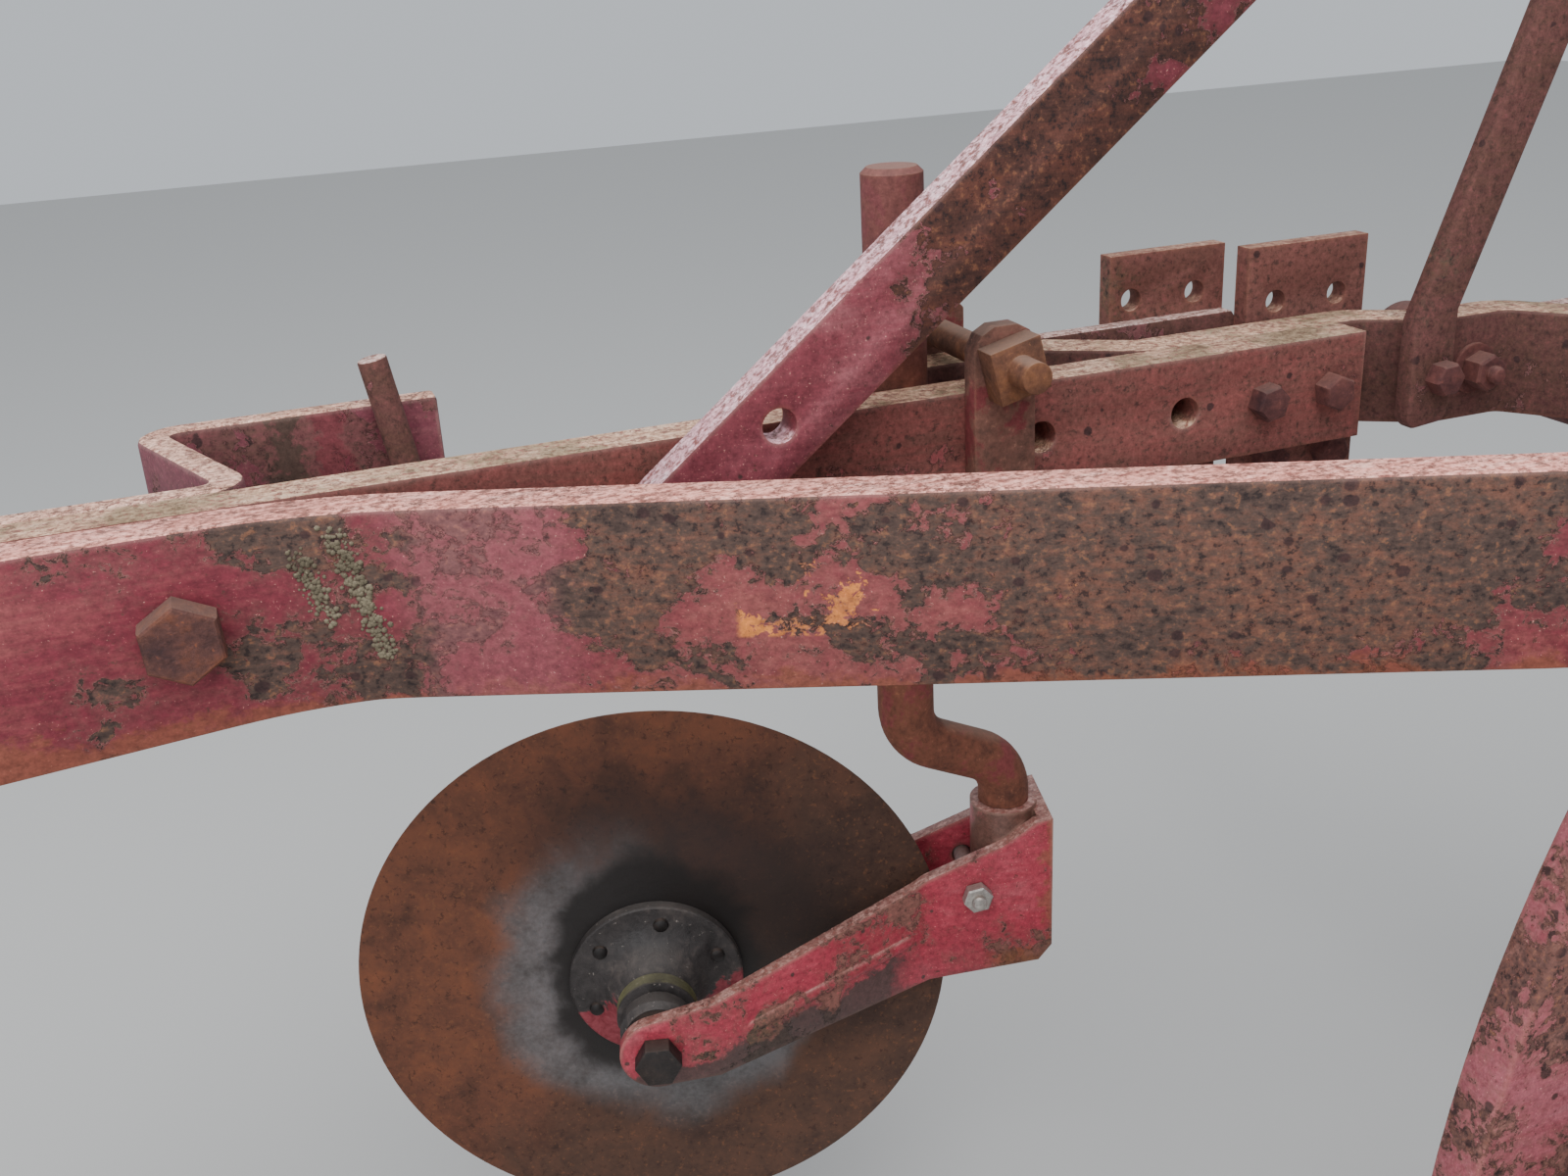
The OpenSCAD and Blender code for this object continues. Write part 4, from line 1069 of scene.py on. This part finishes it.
# %% fasteners of the two coulters
RIVETS, RIVET, RIVET_RING, FIRST_RIVET = 6, 9.5, 41.0, 22
TIE_X, TIE_Z, TIE_HALF = -22.0, -315.0, 27.2
TIE_ACROSS_FLATS, TIE_SHANK = 15.5, 11
for which in STATIONS:
    for sign in (-1, 1):
        for i in range(RIVETS):
            a = math.radians(360 / RIVETS * i + FIRST_RIVET)
            rim = swung(which, -TRAIL + RIVET_RING * math.cos(a), sign * 30,
                        -HUB_DROP + RIVET_RING * math.sin(a))
            bolt(which + "_wheel", "rivet", RIVET, which + "_hub", rim, -sign * ASIDE, "oily")
        place = swung(which, TIE_X, sign * TIE_HALF, TIE_Z)
        kind = "low_nut" if sign < 0 else "hex"
        BOLTS.append((which + "_swivel", kind, TIE_ACROSS_FLATS, place, sign * ASIDE, "zinc", None))
    BOLTS.append((which + "_swivel", "shank", TIE_SHANK, place, ASIDE, "zinc", None))
print(len(BOLTS), "fasteners in all")

# %% [markdown]
# Grey-green moss has settled in two bands on the right beam, ahead of the big bolt.
# It stands off the bar, so it is made of real lumps, dropped at random along the two
# bands and set by the same tree as the bolts.

# %% moss bands
scatter = random.Random(23)
BAND_SPREAD, HIGHEST_LUMP, LUMP_SIZES = 2.6, -6, (1.0, 3.0)
# from (x, z), to (x, z), lumps
MOSS_BANDS = [((12, -9), (20, -36), 170), ((20, -36), (27, -68), 190), ((-4, -18), (7, -50), 170)]
for (x0, z0), (x1, z1), count in MOSS_BANDS:
    for _ in range(count):
        t = scatter.random()
        x = x0 + (x1 - x0) * t + scatter.gauss(0, BAND_SPREAD)
        z = z0 + (z1 - z0) * t + scatter.gauss(0, BAND_SPREAD)
        place = at(x, -80, min(z, HIGHEST_LUMP))
        bolt("frame", "lump", scatter.uniform(*LUMP_SIZES), "right_beam", place, L, "moss")
print("moss lumps:", sum(row[1] == "lump" for row in BOLTS))

# %% [markdown]
# The tree reads three attributes that are stored on each point: the axis, the size
# and a turn about the axis, so that no two heads stand alike.

# %% setting tree


def setting_tree():
    tree = bpy.data.node_groups.new("set_fasteners", "GeometryNodeTree")
    for name, way, kind in (("Points", "INPUT", "Geometry"), ("Master", "INPUT", "Object"),
                            ("Metal", "INPUT", "Material"), ("Set pieces", "OUTPUT", "Geometry")):
        tree.interface.new_socket(name, in_out=way, socket_type="NodeSocket" + kind)
    new, link = tree.nodes.new, tree.links.new
    source, sink = new("NodeGroupInput"), new("NodeGroupOutput")

    def attribute(name, kind):
        node = new("GeometryNodeInputNamedAttribute")
        node.data_type = kind
        node.inputs["Name"].default_value = name
        return node.outputs["Attribute"]

    master = new("GeometryNodeObjectInfo")
    link(source.outputs["Master"], master.inputs["Object"])
    align = new("FunctionNodeAlignRotationToVector")
    align.axis = "Z"
    link(attribute("axis", "FLOAT_VECTOR"), align.inputs["Vector"])
    spin = new("FunctionNodeRotateRotation")
    spin.rotation_space = "LOCAL"
    angles = new("ShaderNodeCombineXYZ")
    link(attribute("turn", "FLOAT"), angles.inputs["Z"])
    link(align.outputs["Rotation"], spin.inputs["Rotation"])
    link(angles.outputs["Vector"], spin.inputs["Rotate By"])
    setter = new("GeometryNodeInstanceOnPoints")
    link(source.outputs["Points"], setter.inputs["Points"])
    link(master.outputs["Geometry"], setter.inputs["Instance"])
    link(spin.outputs["Rotation"], setter.inputs["Rotation"])
    link(attribute("size", "FLOAT"), setter.inputs["Scale"])
    real = new("GeometryNodeRealizeInstances")
    link(setter.outputs["Instances"], real.inputs["Geometry"])
    paint = new("GeometryNodeSetMaterial")
    link(real.outputs["Geometry"], paint.inputs["Geometry"])
    link(source.outputs["Metal"], paint.inputs["Material"])
    link(paint.outputs["Geometry"], sink.inputs["Set pieces"])
    return tree


def socket_id(tree, name):
    return next(item.identifier for item in tree.interface.items_tree
                if item.name == name and item.in_out == "INPUT")


SETTER = setting_tree()
print("setting tree:", len(SETTER.nodes), "nodes")

# %% [markdown]
# One piece is made for each body, kind and metal. The points become a mesh of single
# vertices, the tree runs as a modifier, and its result is kept as a plain mesh.

# %% set the fasteners
FASTENER_CREASE = math.radians(28)
chance = random.Random(7)
groups = {}
for body, kind, size, spot, normal, metal, turn in BOLTS:
    chosen = chance.uniform(0, math.pi) if turn is None else turn
    groups.setdefault((body, kind, metal), []).append((spot, normal, size, chosen))
for (body, kind, metal), rows in sorted(groups.items()):
    marks = bpy.data.meshes.new("marks")
    marks.from_pydata([row[0] for row in rows], [], [])
    for name, kept_as, field, values in (
            ("axis", "FLOAT_VECTOR", "vector", [part for row in rows for part in row[1]]),
            ("size", "FLOAT", "value", [row[2] * MM for row in rows]),
            ("turn", "FLOAT", "value", [row[3] for row in rows])):
        marks.attributes.new(name, kept_as, "POINT").data.foreach_set(field, values)
    master = bpy.data.objects.new("master", MASTERS[kind])
    carrier = bpy.data.objects.new("carrier", marks)
    scene.collection.objects.link(carrier)
    scene.collection.objects.link(master)
    modifier = carrier.modifiers.new("set", "NODES")
    modifier.node_group = SETTER
    modifier[socket_id(SETTER, "Master")] = master
    modifier[socket_id(SETTER, "Metal")] = FINISH[metal]
    mesh = baked(carrier)
    bpy.data.objects.remove(carrier)
    bpy.data.objects.remove(master)
    smooth_by_angle(mesh, FASTENER_CREASE)
    piece = as_piece(kind + "s_" + metal + "_" + body, mesh, body, FINISH[metal])
    print(piece.name, len(rows))

# %% [markdown]
# ## Floor and light
#
# An overcast yard lights the plough from everywhere, most from above. A pale sky and
# two wide soft lamps give that, over a plain pale floor.

# %% floor
HALF_FLOOR = 7.0
floor_mesh = bpy.data.meshes.new("floor")
corners = [(x * HALF_FLOOR, y * HALF_FLOOR, 0) for x, y in ((-1, -1), (1, -1), (1, 1), (-1, 1))]
floor_mesh.from_pydata(corners, [], [(0, 1, 2, 3)])
floor = bpy.data.objects.new("floor", floor_mesh)
scene.collection.objects.link(floor)
pale = Kit("pale_floor")
pale.finish(hue("c9c8c6"), 0.9)
floor_mesh.materials.append(pale.material)
print("floor", 2 * HALF_FLOOR, "m wide")

# %% sky and lamps
SKY, SKY_STRENGTH = "e8eef5", 0.75
# name, place, size in metres, power in watts
LAMPS = [("sky_lamp", (-0.6, -1.2, 3.4), 3.0, 110.0), ("front_lamp", (-2.6, -2.6, 1.6), 1.8, 35.0)]
world = bpy.data.worlds.new("overcast")
scene.world = world
world.use_nodes = True
world.node_tree.nodes["Background"].inputs["Color"].default_value = hue(SKY)
world.node_tree.nodes["Background"].inputs["Strength"].default_value = SKY_STRENGTH
for name, place, size, power in LAMPS:
    lamp_data = bpy.data.lights.new(name, "AREA")
    lamp_data.size = size
    lamp_data.energy = power
    lamp = bpy.data.objects.new(name, lamp_data)
    lamp.location = place
    lamp.rotation_euler = (at(200, 0, -100) - Vector(place)).to_track_quat("-Z", "Y").to_euler()
    scene.collection.objects.link(lamp)
print(len(LAMPS), "lamps")
